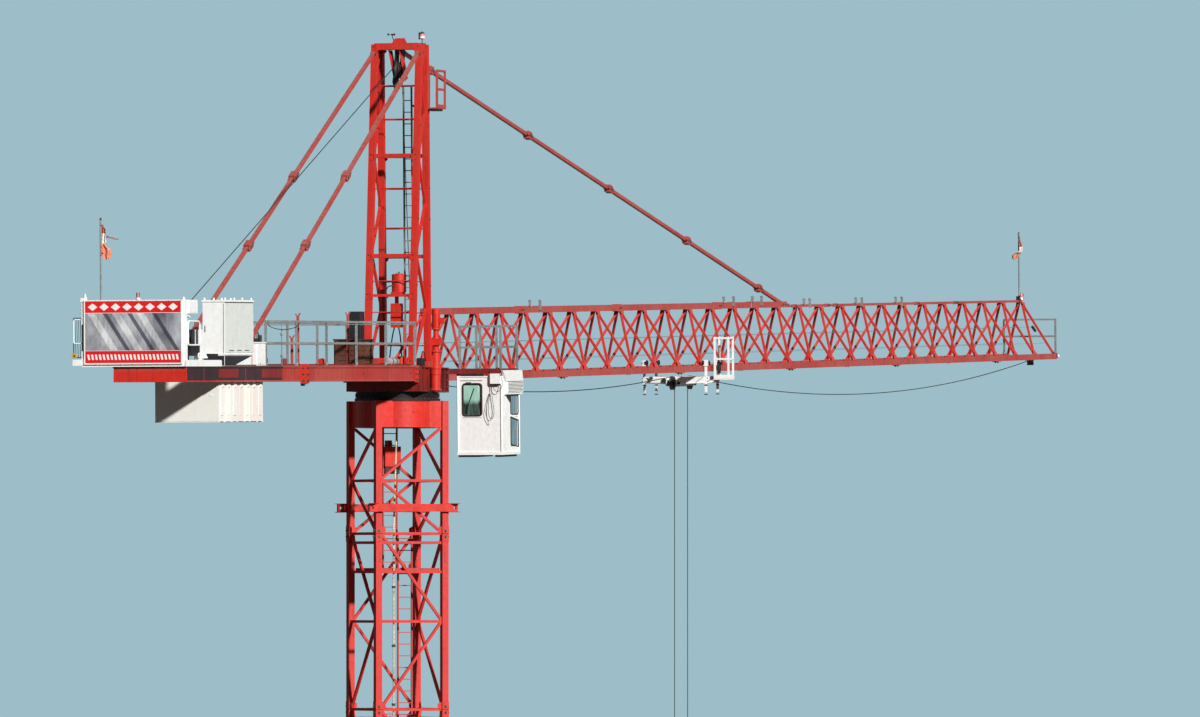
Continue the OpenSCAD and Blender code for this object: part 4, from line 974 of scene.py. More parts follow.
rig, rig_dark, rig_lamps = Form(COUNTER), Form(COUNTER), Form(COUNTER)
rig.tube(front_on(-0.485, rounded((-8.46, 0.26), (-8.05, 0.55), 0.05)), 0.011, 8, True)
rig.tube(front_on(-0.487, rounded((-8.11, 0.10), (-8.05, 0.16), 0.029)), 0.009, 8, True)
rig.tube(side_on(-8.50, rounded((0.845, 0.285), (0.985, 0.575), 0.02)), 0.008, 8, True)
rig.boxes([
    (-8.43, -0.49, 0.645, -8.13, -0.38, 0.81),
    (-8.42, -0.494, 0.66, -8.14, -0.49, 0.79),
    (-8.53, -0.49, 0.0, -7.31, -0.475, 0.078),
    (-8.53, 0.86, 0.015, -8.38, 0.99, 0.09),
    (-8.53, 0.815, 0.79, -8.48, 0.885, 0.84),
])
rig.bar((-8.43, -0.43, 0.63), (-8.30, -0.43, 0.60), 0.05, 0.02)
rig.spin((-7.87, -0.48, 0.10), Z, [(0.04, 0), (0.036, 0.01), (0.012, 0.06), (0.004, 0.068)], 18)
rig.spin((-8.51, 0.83, 0.84), Z, [(0.018, 0), (0.016, 0.02), (0.004, 0.055)], 14)
rig.spin((-8.51, -0.45, 0.81), Z, [(0.02, 0), (0.02, 0.012), (0.003, 0.04)], 14)
beads = [(0.008 + 0.011 * abs(math.sin(k * math.pi / 4)), k * 0.013) for k in range(17)]
rig.spin((-8.505, 0.868, 0.57), Z, beads, 14)
rig.disc((-8.525, 0.135, 0.81), Z, 0.028, 0.03, 0.004, 18)
piece("winch_frame_fittings", rig, white_paint, 0.002)
rig_dark.tube(side_on(-8.485, rounded((0.83, 0.115), (0.992, 0.595), 0.012)), 0.006, 6, True)
for y in (0.90, 0.93, 0.96):
    rig_dark.tube([(-8.49, y, 0.12), (-8.492, y + 0.006, 0.3), (-8.49, y - 0.004, 0.58)], 0.0035, 6)
rig_dark.boxes([
    (-8.32, -0.478, 0.127, -8.03, -0.43, 0.26),
    (-7.85, -0.482, 0.115, -7.40, -0.475, 0.155),
    (-8.532, 0.112, 0.84, -8.524, 0.125, 0.90),
    (-8.532, 0.145, 0.84, -8.524, 0.158, 0.90),
    (-8.535, 0.835, 0.2, -8.5, 0.86, 0.52),
])
rig_dark.disc((-8.532, 0.965, 0.135), -X, 0.016, 0.004, 0.001, 18)
piece("winch_frame_dark_parts", rig_dark, black_steel, 0.001)
rig_lamps.disc((-8.53, 0.965, 0.135), -X, 0.034, 0.006, 0.002, 24)
rig_lamps.disc((-8.525, 0.135, 0.84), Z, 0.02, 0.055, 0.006, 18, 1)
yellow_paint = paint("yellow_paint", (222, 178, 46), (206, 172, 88), (0.6, 0.4, 0.4, 0.2, 0.45))
piece("winch_frame_lamps", rig_lamps, (yellow_paint, beacon_pink))

# Hoist winch: wraps of rope between the drum's flanges, a gearbox with bolted covers, and a motor
# with cooling ribs, an end bell and a terminal box.

AXLE, WRAP_RADIUS = np.array((-7.925, 0.0, 0.33)), 0.116
wraps, winch = Form(COUNTER), Form(COUNTER)
for y in np.arange(-0.375, 0.13, 0.0125):
    wraps.tube(AXLE + y * Y + WRAP_RADIUS * around(48)[:, [0, 2, 1]], 0.006, 6, True)
piece("winch_rope_wraps", wraps, rope_finish)
winch.disc(AXLE + places(0, (0.142, -0.404), 0), Y, 0.156, 0.012, 0.003, 40, 1)
rib = [(0.114, 0), (0.124, 0.001), (0.124, 0.008), (0.114, 0.009)]
winch.spin(AXLE + places(0, np.arange(0.43, 0.74, 0.022), 0), Y, rib, 40)
winch.spin(AXLE + 0.77 * Y, Y, [(0.112, 0), (0.108, 0.03), (0.08, 0.05), (0.03, 0.055)], 40)
winch.box((-7.99, 0.5, 0.43), (-7.86, 0.64, 0.50))
winch.bolt(places((-8.06, -7.925, -7.79), 0.15, (0.1, 0.46)), -Y, 0.022, 2)
winch.bolt(places((-8.06, -7.925, -7.79), 0.40, (0.1, 0.46)), Y, 0.022, 2)
winch.bolt(AXLE - 0.404 * Y + 0.13 * around(10)[:, [0, 2, 1]], -Y, 0.016, 2)
piece("winch_motor_details", winch, (white_paint, black_steel, bolts_steel), 0.0015)


# Board: a sheet in a white border behind the winch, red above and below a clouded grey field. The
# motifs are plain ones: lozenges above, slanted bars below, and broad slanted bands between.


def mottled(name, dark, light):
    """Printed grey: soft clouds of light and dark, with nothing drawn on it."""
    made, tree, shader = finish(name, coat=0.2)
    place = object_place(tree)
    cloud = ramp(tree, noise(tree, place, (1, 2.6, 1.6), 4, 0.5), 0.36, 0.64)
    fleck = noise(tree, place, (1, 30, 9), 6, 0.6)
    color = blend(tree, cloud, srgb(*dark), srgb(*light))
    color = blend(tree, ramp(tree, fleck, 0.45, 0.7, 0, 0.35), color, srgb(58, 58, 66))
    surface(tree, shader, color, ramp(tree, fleck, 0.3, 0.7, 0.3, 0.5))
    return made


board_red = paint("board_red", (230, 26, 30), (222, 52, 50), (0.4, 0.1, 0.05, 0.1, 0.35), coat=0.2)
board_grey = mottled("board_grey", (72, 72, 84), (190, 192, 196))
board_pale = mottled("board_pale", (150, 152, 158), (232, 232, 230))
board_dark = mottled("board_dark", (40, 40, 50), (104, 104, 114))
LEFT, RIGHT, BACK, PRINT = 0.823, -0.423, -8.536, -8.5385
board, border = Form(COUNTER), Form(COUNTER)
for bottom, top, front, mark in (
    (0.045, 0.195, PRINT, 0),
    (0.655, 0.798, PRINT, 0),
    (0.195, 0.655, PRINT, 1),
    (0.652, 0.657, PRINT - 0.001, 4),
    (0.193, 0.197, PRINT - 0.001, 4),
):
    board.box((front, RIGHT, bottom), (BACK, LEFT, top), mark)
for number, y in enumerate(np.arange(RIGHT + 0.02, LEFT - 0.42, 0.16)):
    wide, mark = ((0.055, 3), (0.095, 2))[number % 2]
    band = [(y, 0.2), (y + wide, 0.2), (y + wide + 0.3, 0.65), (y + 0.3, 0.65)]
    board.plate(side_on(PRINT, band), -0.0008 * X, mark)
for y in np.linspace(RIGHT + 0.10, LEFT - 0.10, 8):
    lozenge = [(y - 0.062, 0.727), (y, 0.682), (y + 0.062, 0.727), (y, 0.772)]
    board.plate(side_on(PRINT, lozenge), -0.001 * X, 4)
for y in np.arange(RIGHT + 0.03, LEFT - 0.06, 0.05):
    slash = [(y, 0.085), (y + 0.026, 0.085), (y + 0.04, 0.15), (y + 0.014, 0.15)]
    board.plate(side_on(PRINT, slash), -0.001 * X, 4)
piece("board_face", board, (board_red, board_grey, board_pale, board_dark, white_paint))
border.boxes([(-8.543, -0.437, low, -8.535, 0.837, high) for low, high in ((0.028, 0.045), (0.798, 0.812))])
border.boxes([(-8.543, y, 0.03, -8.535, y + 0.014, 0.81) for y in (-0.437, 0.823)])
border.bolt(places(-8.543, np.linspace(-0.43, 0.83, 9), (0.036, 0.805)), -X, 0.009)
piece("board_border", border, white_paint, 0.001)


# Electric cabinets: a tall white cabinet with a ribbed side, a lip under its lid, vents and lifting
# pins, on a dark plinth with a pale gusset. A low white box stands beside it.

worn = (0.4, 0.1, 0.02, 0.05, 0.45)
# The ribbed side walls are light grey against the white rear: painted shade for sides that take less light.
cabinet_side_shade = paint("cabinet_side_shade", (208, 212, 206), (216, 218, 212), worn, (150, 146, 140))
cabinet, cabinet_dark = Form(COUNTER), Form(COUNTER)
for side, wall in ((-1, -0.47), (1, -0.18)):
    cabinet.box((-7.118, wall, 0.165), (-6.128, wall + side * 0.001, 0.778), 1)
    for x in np.arange(-7.105, -6.13, 0.031):
        cabinet.box((x, wall, 0.17), (x + 0.016, wall + side * 0.007, 0.775), 1)
cabinet.boxes([
    (-7.135, -0.48, 0.79, -6.115, -0.17, 0.815),
    (-7.13, -0.477, 0.14, -6.12, -0.173, 0.156),
    (-6.03, -0.48, 0.285, -5.67, -0.34, 0.30),
    (-5.99, -0.476, 0.03, -5.89, -0.47, 0.27),
    (-5.87, -0.476, 0.03, -5.71, -0.47, 0.27),
])
cabinet.disc(places((-7.09, -6.76, -6.48, -6.16), (-0.46, -0.19), 0.815), Z, 0.012, 0.028, 0.004, 12)
cabinet.plate(front_on(-0.47, [(-6.75, 0.02), (-6.19, 0.02), (-6.19, 0.125)]), -0.004 * Y)
cabinet_dark.boxes([(x, -0.4775, 0.19, x + 0.17, -0.4755, 0.20) for x in (-6.99, -6.72, -6.45)])
cabinet_dark.boxes([
    (-7.12, -0.4745, 0.779, -6.13, -0.4705, 0.788),
    (-7.12, -0.469, 0.012, -6.17, -0.464, 0.13),
    (-7.126, -0.46, 0.012, -7.12, -0.19, 0.13),
    (-7.1285, -0.455, 0.16, -7.1255, -0.45, 0.77),
    (-7.129, -0.215, 0.42, -7.125, -0.205, 0.50),
    (-5.885, -0.4735, 0.02, -5.877, -0.4695, 0.28),
    (-5.98, -0.44, 0.30, -5.86, -0.38, 0.345),
    (-6.1, -0.47, 0.01, -5.6, -0.30, 0.022),
])
cabinet_dark.disc((-5.74, -0.42, 0.30), Z, 0.024, 0.09, 0.01, 18)
lead = [(-5.92, -0.41, 0.34), (-5.9, -0.42, 0.40), (-5.83, -0.43, 0.41), (-5.78, -0.42, 0.35)]
cabinet_dark.tube(smooth(lead), 0.006)
piece("cabinet_ribs", cabinet, (white_paint, cabinet_side_shade), 0.001)
piece("cabinet_dark_parts", cabinet_dark, black_steel, 0.001)


# Flags: torn, sun-bleached cloth on thin zinc-coated poles, one at each end of the crane. The rear
# one has a red tongue, a white strip, an orange belly and a long streamer.


def cloth(name, base):
    """Weathered flag cloth: woven threads, bleached patches and stains."""
    made, tree, shader = finish(name)
    place = object_place(tree)
    shader.inputs["Sheen Weight"].default_value = 0.3
    threads = {"Vector": place, "Scale": 130.0}
    warp, weft = (put(tree, "TexWave", threads, bands_direction=way).outputs["Fac"] for way in "ZY")
    bleach = times(tree, ramp(tree, noise(tree, place, 7, 5, 0.65), 0.4, 0.68), 0.5)
    stain = times(tree, ramp(tree, noise(tree, place, 17, 6), 0.56, 0.7), 0.4)
    color = blend(tree, bleach, srgb(*base), srgb(240, 200, 176))
    color = blend(tree, stain, color, srgb(120, 72, 56))
    weave = reckon(tree, "ADD", warp, weft)
    surface(tree, shader, color, ramp(tree, warp, 0, 1, 0.75, 0.92), weave, 0.3, 0.001)
    return made


CLOTHS = (
    cloth("red_cloth", (196, 62, 48)),
    cloth("white_cloth", (240, 236, 224)),
    cloth("orange_cloth", (234, 124, 82)),
    cloth("dark_cloth", (74, 40, 36)),
)


STEPS, COLUMNS = 8, 17


def torn(name, place, rows, folds):
    """A cloth hung beside a pole. Each row gives its height, its inner and outer edge and its cloth.
    Rows are joined straight, and depth = fold * sin(turns across + lean down) ripples the cloth."""
    step = np.linspace(0, len(rows) - 1, (len(rows) - 1) * STEPS + 1)
    z, inner, outer = (np.interp(step, np.arange(len(rows)), column) for column in list(zip(*rows))[:3])
    across = np.linspace(0, 1, COLUMNS)
    ragged = 0.006 * np.sin(step * 5.3)[:, None] * across**3
    y = inner[:, None] + (outer - inner)[:, None] * across + ragged
    x = folds * np.sin(across * 9.5 + step[:, None] * 0.55) * (0.3 + across)
    grid = np.stack([x, y, np.broadcast_to(z[:, None], y.shape)], -1)
    spots = grid.reshape(-1, 3) @ np.array(place)[:3, :3].T + np.array(place)[:3, 3]
    index = np.arange(len(step) * COLUMNS).reshape(len(step), COLUMNS)
    quads = np.stack([index[:-1, :-1], index[:-1, 1:], index[1:, 1:], index[1:, :-1]], -1).reshape(-1, 4)
    which = np.array([row[3] for row in rows])[(step[:-1] + 0.5).astype(int).clip(0, len(rows) - 1)]
    made = object_of(name, spots, quads.tolist(), np.repeat(which, COLUMNS - 1), CLOTHS)
    wall = made.modifiers.new("wall", "SOLIDIFY")
    wall.thickness, wall.offset = 0.0012, 0
    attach(made, "upper")
    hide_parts("flags")


REAR_POLE, TIP_POLE = np.array((-8.485, 0.632, 0)), np.array((27.165, 0, 0))
rear_pole = COUNTER @ Matrix.Translation(REAR_POLE) @ Matrix.Diagonal((1, -1, 1, 1))
tongue = [(1.735, 0.010, 0.022, 0), (1.70, 0.010, 0.045, 0), (1.655, 0.012, 0.072, 0)]
tongue += [(1.60, 0.012, 0.066, 1), (1.575, 0.011, 0.064, 1), (1.53, 0.011, 0.070, 1)]
tongue += [(1.475, 0.010, 0.060, 2), (1.445, 0.010, 0.11, 2), (1.40, 0.010, 0.132, 2)]
tongue += [(1.36, 0.010, 0.128, 2), (1.325, 0.035, 0.115, 2), (1.305, 0.07, 0.10, 2)]
torn("rear_flag", rear_pole, tongue, 0.012)
streamer = [(0, -0.009, 0.009, 0), (-0.06, -0.008, 0.008, 0)]
streamer += [(-0.12, -0.010, 0.004, 0), (-0.17, -0.004, 0.004, 2)]
torn("rear_streamer", rear_pole @ turned((0, 0.068, 1.585), 78, "X"), streamer, 0.004)
curl = [(1.83, -0.012, 0.004, 3), (1.77, -0.026, -0.006, 3), (1.70, -0.044, -0.012, 3)]
curl += [(1.66, -0.062, -0.022, 0), (1.61, -0.066, -0.024, 1), (1.565, -0.060, -0.006, 1)]
curl += [(1.54, -0.045, 0.05, 3), (1.515, -0.02, 0.095, 2), (1.49, 0.0, 0.105, 2)]
curl += [(1.465, 0.025, 0.10, 2), (1.445, 0.05, 0.08, 0)]
torn("tip_flag", JIB @ Matrix.Translation(TIP_POLE - 0.026 * X), curl, 0.012)
dress(zinc, "flag_poles")
pole_parts = Form(COUNTER)
for z in (1.72, 1.46, 1.36):
    tie = rounded((-8.496, 0.621), (-8.474, 0.643), 0.0108)
    pole_parts.tube(flat(z * Z, X, Y, tie), 0.0035, 6, True)
pole_parts.spin(REAR_POLE + 1.785 * Z, Z, [(0.006, 0), (0.013, 0.008), (0.013, 0.022), (0.004, 0.03)], 14)
pole_parts.bar(REAR_POLE + 1.40 * Z, (-8.485, 0.60, 1.375), 0.012)
pole_parts.place = np.array(JIB)
pole_parts.spin(TIP_POLE + 1.825 * Z, Z, [(0.006, 0), (0.012, 0.008), (0.012, 0.02), (0.004, 0.028)], 14)
pole_parts.spin(TIP_POLE + 0.842 * Z, Z, [(0.03, 0), (0.03, 0.012), (0.018, 0.02), (0.016, 0.07)], 16)
piece("flag_pole_fittings", pole_parts, black_steel)


# Cab: a white sheet-metal cabin under the jib's root, hung on dark red beams. Its panes sit in black
# rubber, a ribbed visor box runs along the top of its right side, and cables loop down behind it.

dress(white_paint, "cab_shell")
dress(deep_red, "cab_hanger")
dress(zinc, "cab_railing")


def pane():
    """Green cab glass, dark and streaked below, with a painted reflection of sky on its upper part and a
    blue-grey painted reflection on panes that face -Y.
    """
    made, tree, shader = finish("cab_pane", 0.0, 1.52, 0.4)
    place = object_place(tree)
    shader.inputs["Coat Roughness"].default_value = 0.05
    level = put(tree, "SeparateXYZ", {0: place}).outputs[2]
    wave = times(tree, noise(tree, place, (9, 9, 2), 3), 0.12)
    edge = ramp(tree, reckon(tree, "ADD", level, wave), 15.23, 15.30)
    smear = ramp(tree, noise(tree, place, (26, 26, 3), 5), 0.42, 0.62)
    lower = blend(tree, smear, srgb(26, 44, 44), srgb(84, 112, 104))
    # upper is the painted reflection of sky; side is the painted reflection on panes that face -Y.
    upper = blend(tree, smear, srgb(150, 204, 184), srgb(186, 222, 206))
    side = blend(tree, smear, srgb(112, 140, 150), srgb(140, 166, 174))
    side_reflection_mask = ramp(tree, facing(tree, "Y"), -0.4, -0.6)
    color = blend(tree, side_reflection_mask, blend(tree, edge, lower, upper), side)
    surface(tree, shader, color, ramp(tree, smear, 0, 1, 0.06, 0.22))
    return made


dress(pane(), "cab_glass")
REAR, FRONT, OUTER, INNER = 0.555, 1.24, -1.027, -0.432
slant = [(0.905, -0.515), (1.205, -0.56), (1.205, -0.905), (0.905, -0.87)]
gaskets = Form(JIB)
for path, radius in (
    (side_on(REAR - 0.003, rounded((-0.758, -0.495), (-0.502, -0.085), 0.035)), 0.011),
    (front_on(OUTER - 0.002, rounded((0.905, -0.485), (1.205, -0.235), 0.02)), 0.008),
    (front_on(OUTER - 0.002, slant), 0.009),
    (side_on(FRONT + 0.003, rounded((-0.982, -0.905), (-0.477, -0.095), 0.03)), 0.011),
    (front_on(INNER + 0.002, rounded((0.64, -0.95), (1.08, -0.09), 0.04)), 0.006),
):
    gaskets.tube(path, radius, 8, True)
gaskets.tube(side_on(REAR - 0.006, [(-0.53, -0.47), (-0.6, -0.3), (-0.66, -0.14)]), 0.004)
wiper = [(FRONT + 0.014, -0.73, -0.88), (FRONT + 0.016, -0.66, -0.6), (FRONT + 0.014, -0.62, -0.42)]
gaskets.tube(wiper, 0.006)
gaskets.box((FRONT + 0.01, -0.64, -0.62), (FRONT + 0.018, -0.625, -0.26))
piece("cab_gaskets", gaskets, rubber)

cab_trim, cab_dark = Form(JIB), Form(JIB)
hood = [(0.53, 0.088), (1.30, 0.082), (1.345, -0.062), (0.70, -0.067)]
cab_trim.plate(front_on(OUTER - 0.03, hood), 0.03 * Y)
ledge = [(0.905, -0.488), (1.21, -0.535), (1.21, -0.56), (0.905, -0.512)]
cab_trim.plate(front_on(OUTER - 0.010, ledge), 0.010 * Y)
cab_trim.boxes([
    (0.70, OUTER - 0.04, -0.203, 1.31, OUTER, -0.066),
    (0.66, OUTER - 0.03, -0.226, 1.30, OUTER, -0.208),
    (1.24, OUTER + 0.005, -0.06, 1.31, INNER - 0.01, -0.045),
    (1.24, OUTER + 0.005, -0.2, 1.25, INNER - 0.01, -0.12),
    (REAR - 0.012, OUTER - 0.012, -1.003, FRONT + 0.012, INNER + 0.012, -0.965),
    (REAR - 0.008, OUTER - 0.008, 0.0, FRONT + 0.008, INNER + 0.008, 0.016),
    (REAR - 0.05, -1.02, -0.085, REAR, -0.89, 0.045),
])
cab_trim.disc(places((REAR, FRONT), (OUTER, INNER), -0.965), Z, 0.014, 0.97, 0.002, 14)
RIVETS = (-0.95, -0.78, -0.6, -0.42, -0.24)
cab_trim.disc(places(REAR, (-1.0, -0.46), RIVETS), -X, 0.006, 0.003, 0.001, 10)
cab_trim.disc(places(0.6, OUTER, RIVETS), -Y, 0.006, 0.003, 0.001, 10)
piece("cab_trim", cab_trim, white_paint, 0.002)
for z in np.arange(-0.19, -0.07, 0.018):
    cab_dark.box((0.72, OUTER - 0.0425, z), (1.295, OUTER - 0.039, z + 0.006))
cab_dark.boxes([
    (0.70, OUTER - 0.034, -0.063, 1.33, OUTER - 0.001, -0.056),
    (REAR - 0.006, -0.765, -0.046, REAR, -0.465, -0.041),
    (REAR - 0.004, -0.752, -0.522, REAR, -0.492, -0.519),
    (REAR - 0.012, -0.785, 0.016, REAR + 0.02, -0.485, 0.04),
    (REAR - 0.045, -1.015, -0.1, REAR, -0.895, -0.085),
])
for low, high in ((-0.506, -0.431), (-0.683, -0.519), (-1.01, -0.93)):
    cab_dark.box((REAR + 0.01, low, -1.03), (FRONT - 0.05, high, -1.003))
cab_dark.box((REAR - 0.03, -0.62, -0.075), (REAR, -0.56, -0.06), 2)
quarter = [(0.715, -0.237), (0.892, -0.237), (0.892, -0.33)]
cab_dark.plate(front_on(OUTER - 0.003, quarter), 0.003 * Y, 1)
cab_dark.tube(front_on(OUTER - 0.004, quarter), 0.006, 6, True)
cab_dark.disc(places(0.65, INNER + 0.006, (-0.8, -0.25)), Z, 0.012, 0.06, 0.003, 12)
cab_dark.bar((1.02, INNER + 0.02, -0.5), (1.02, INNER + 0.02, -0.4), 0.012)
quarter_glass = paint("quarter_glass", (30, 44, 46), (60, 78, 76), (0.5, 0.3, 0.0, 0.1, 0.1), coat=0.5)
piece("cab_dark_parts", cab_dark, (black_steel, quarter_glass, grey_paint))

cable_run = [(0.52, -0.894, 0.10), (0.515, -0.894, 0.027), (0.522, -0.90, -0.11), (0.525, -0.908, -0.231)]
cable_run += [(0.525, -0.925, -0.359), (0.523, -0.935, -0.45), (0.52, -0.92, -0.52), (0.518, -0.895, -0.54)]
cable_run += [(0.518, -0.868, -0.50), (0.52, -0.86, -0.398), (0.53, -0.868, -0.27), (0.55, -0.874, -0.21)]
cord("cab_cable_long", world_points(JIB, smooth(cable_run)), 0.007, black_cable)
upper_run = [(0.54, -1.0, 0.05), (0.50, -1.03, 0.03), (0.485, -1.058, -0.03), (0.485, -1.062, -0.09)]
upper_run += [(0.488, -1.045, -0.15), (0.495, -1.005, -0.185), (0.505, -0.96, -0.175)]
upper_run += [(0.52, -0.925, -0.13), (0.535, -0.91, -0.098)]
cord("cab_cable_upper", world_points(JIB, smooth(upper_run)), 0.007, black_cable)
grey_run = [(0.55, -0.862, -0.21), (0.535, -0.858, -0.25), (0.522, -0.84, -0.36), (0.518, -0.825, -0.46)]
grey_run += [(0.518, -0.835, -0.52), (0.52, -0.85, -0.56), (0.535, -0.852, -0.60), (0.553, -0.852, -0.62)]
cord("cab_cable_grey", world_points(JIB, smooth(grey_run)), 0.006, rope_finish)
hangers = Form(JIB)
hangers.bolt(places((0.595, 1.2), (-0.98, -0.75, -0.5), (0.016, 0.106)), Z, 0.018)
hangers.stand(places((0.595, 1.2), (-0.985, -0.46), 0.012), 0.02, 0.03, 1)
piece("cab_hanger_bolts", hangers, (bolts_steel, deep_red), 0.001)


# Jib: a pinkish red lattice of square tube. Gussets stiffen its joints, sleeves join its sections,
# and pairs of grey uprights and a hook stand on the top chord for the fall-arrest rope.

brace_red = paint("brace_red", (206, 50, 42), (198, 84, 74), (0.65, 0.2, 0.5, 0.12, 0.45))
dress(chord_red, "jib_top_chord", "jib_bottom_chords")
dress(brace_red, "jib_side_left", "jib_side_right", "jib_floor")
BAY, BAYS = 0.99, 28
HALF_CHORD, TOP_CHORD = 0.37, 0.85
HEAVY_END = 15.6
LOW_GUSSET = [(-0.09, 0.04), (0.09, 0.04), (0.03, 0.125), (-0.03, 0.125)]
HIGH_GUSSET = [(-0.08, -0.05), (0.08, -0.05), (0.03, -0.12), (-0.03, -0.12)]
tilt = math.atan(HALF_CHORD / TOP_CHORD)
slope = math.hypot(HALF_CHORD, TOP_CHORD)
for side, label in ((-1, "right"), (1, "left")):
    lean = Matrix.Rotation(math.pi / 2 + side * tilt, 4, "X")
    gussets = Form(JIB @ Matrix.Translation((0, side * HALF_CHORD, 0)) @ lean)
    low = places(np.arange(1, BAYS) * BAY, 0, -side * 0.015)
    high = places((np.arange(BAYS) + 0.5) * BAY, slope, -side * 0.015)
    for outline, spots in ((LOW_GUSSET, low), (HIGH_GUSSET, high)):
        for spot in spots:
            gussets.plate(flat(spot, X, Y, outline), -side * 0.006 * Z)
    piece("jib_gussets_" + label, gussets, brace_red)
sleeves, sleeve_bolts = Form(JIB), Form(JIB)
joins = np.arange(4.95, 27, 4.95)
pairs = (joins[:, None] + (-0.06, 0.06)).ravel()
for side in (-1, 1):
    sleeves.stand(places(joins, side * HALF_CHORD, -0.052), (0.09, 0.042), 0.010)
    sleeves.stand(places(joins, side * 0.323, -0.042), (0.09, 0.005), 0.082)
    sleeve_bolts.bolt(places(pairs, side * HALF_CHORD, -0.052), -Z, 0.024)
    sleeve_bolts.bolt(places(pairs, side * 0.318, 0.0), -side * Y, 0.024)
    sleeve_bolts.bolt(places((15.53, 15.65, 15.75), side * 0.042, TOP_CHORD), side * Y, 0.024)
for x in (4.28, 8.34, 12.68, 16.17, 17.7, 18.1, 22.01, 23.93):
    half, low, high = (0.048, 0.80, 0.90) if x < HEAVY_END else (0.024, 0.802, 0.850)
    sleeves.box((x - 0.06, -half, low), (x + 0.06, half, high))
    for side in (-1, 1):
        sleeve_bolts.bolt(places((x - 0.035, x + 0.035), side * half, (low + high) / 2), side * Y, 0.02)
piece("jib_sleeves", sleeves, chord_red, 0.002)
piece("jib_sleeve_bolts", sleeve_bolts, bolts_steel)
uprights, pads = Form(JIB), Form(JIB)
for pair in ((4.56, 4.97), (12.82, 13.26), (14.11, 14.52), (16.54, 16.81), (18.97, 19.26), (20.89, 21.18)):
    half, top = (0.042, 0.892) if pair[0] < HEAVY_END else (0.018, 0.844)
    for x, foot in zip(pair, (top, top - 0.05)):
        uprights.box((x - 0.018, -half - 0.026, foot), (x + 0.018, -half, top + 0.085))
        uprights.box((x - 0.018, -half - 0.010, top), (x + 0.018, half, top + 0.008))
        uprights.disc((x, -half - 0.014, top + 0.07), Y, 0.016, 0.02, 0.002, 14)
hook = [(14.07, -0.046, 0.81), (14.07, -0.05, 0.9), (14.075, -0.055, 0.96), (14.10, -0.06, 0.975)]
uprights.tube(smooth(hook + [(14.125, -0.06, 0.955)]), 0.008)
piece("jib_uprights", uprights, zinc, 0.001)
for start, end in ((3.15, 3.35), (3.62, 3.86), (4.14, 4.4), (9.74, 10.04), (11.31, 11.79)):
    pads.box((start, -0.328, -0.036), (end, -0.31, 0.036))
pads.box((2.15, -0.328, -0.05), (2.45, -0.25, 0.05))
pads.disc((2.75, -0.328, 0.0), Y, 0.05, 0.05, 0.004, 24, 1)
pads.bar((2.72, -0.322, -0.05), (2.78, -0.322, 0.05), 0.006, 0.014, Y, 2)
pads.tube(smooth([(0.72, -0.30, 0.02), (2.0, -0.31, -0.005), (3.4, -0.305, 0.012), (4.9, -0.31, 0.0)]), 0.009)
piece("jib_dark_fittings", pads, (black_steel, bright_red, white_paint), 0.002)


# Hand wires: two thin steel wires along each side inside the lattice, tied to its diagonals, and
# stretched from the root to the railing at the tip.

wires = Form(JIB)
for y, z in ((0.156, 0.44), (0.262, 0.20)):
    for side in (-1, 1):
        wires.tube(places((0.06, 13.8, 27.6), side * y, z), 0.0022, 6)
piece("jib_hand_wires", wires, zinc)


# Tip: end railings, an obstruction lamp and a small loop by the flag pole, rope anchor plates and a
# white lamp at the very end.

dress(zinc, "jib_tip_railing")
tip = Form(JIB)
tip.disc((27.27, 0, 0.840), Z, 0.026, 0.045, 0.004, 20, 1)
tip.spin((27.27, 0, 0.885), Z, [(0.024, 0), (0.026, 0.02), (0.02, 0.055), (0.006, 0.07)], 20, 2)
tip.tube(front_on(0, rounded((27.33, 0.845), (27.39, 0.935), 0.028)), 0.006, 8, True, 3)
tip.boxes([
    (27.10, -0.022, 0.78, 27.13, 0.03, 0.90),
    (27.60, -0.05, -0.06, 27.715, 0.05, -0.045),
    (27.70, -0.05, -0.13, 27.715, 0.05, -0.06),
    (27.695, -0.424, -0.02, 27.73, -0.412, 0.03),
])
tip.bar((27.15, -0.2, 0.45), (27.25, -0.22, 0.38), 0.03, 0.03, Y)
tip.disc((27.712, -0.424, 0.005), -Y, 0.022, 0.026, 0.006, 18, 1)
for side in (-1, 1):
    tip.stand((27.7235, side * 0.37, -0.04), (0.0035, 0.04), 0.08, 4)
    tip.box((27.657, side * 0.399 - 0.03, 0.042), (27.717, side * 0.399 + 0.013, 0.05), 3)
    tip.disc((27.687, side * 0.399, 0.05), Z, 0.02, 0.025, 0.003, 16, 3)
finishes = (black_steel, white_paint, beacon_pink, zinc, chord_red)
piece("jib_tip_fittings", tip, finishes, 0.001)


# Trolley: a white frame on black rollers under the bottom chords, with guide rings behind its post
# heads, rubber feet, and stays on its side plates. A small basket of angle bars hangs at its right.

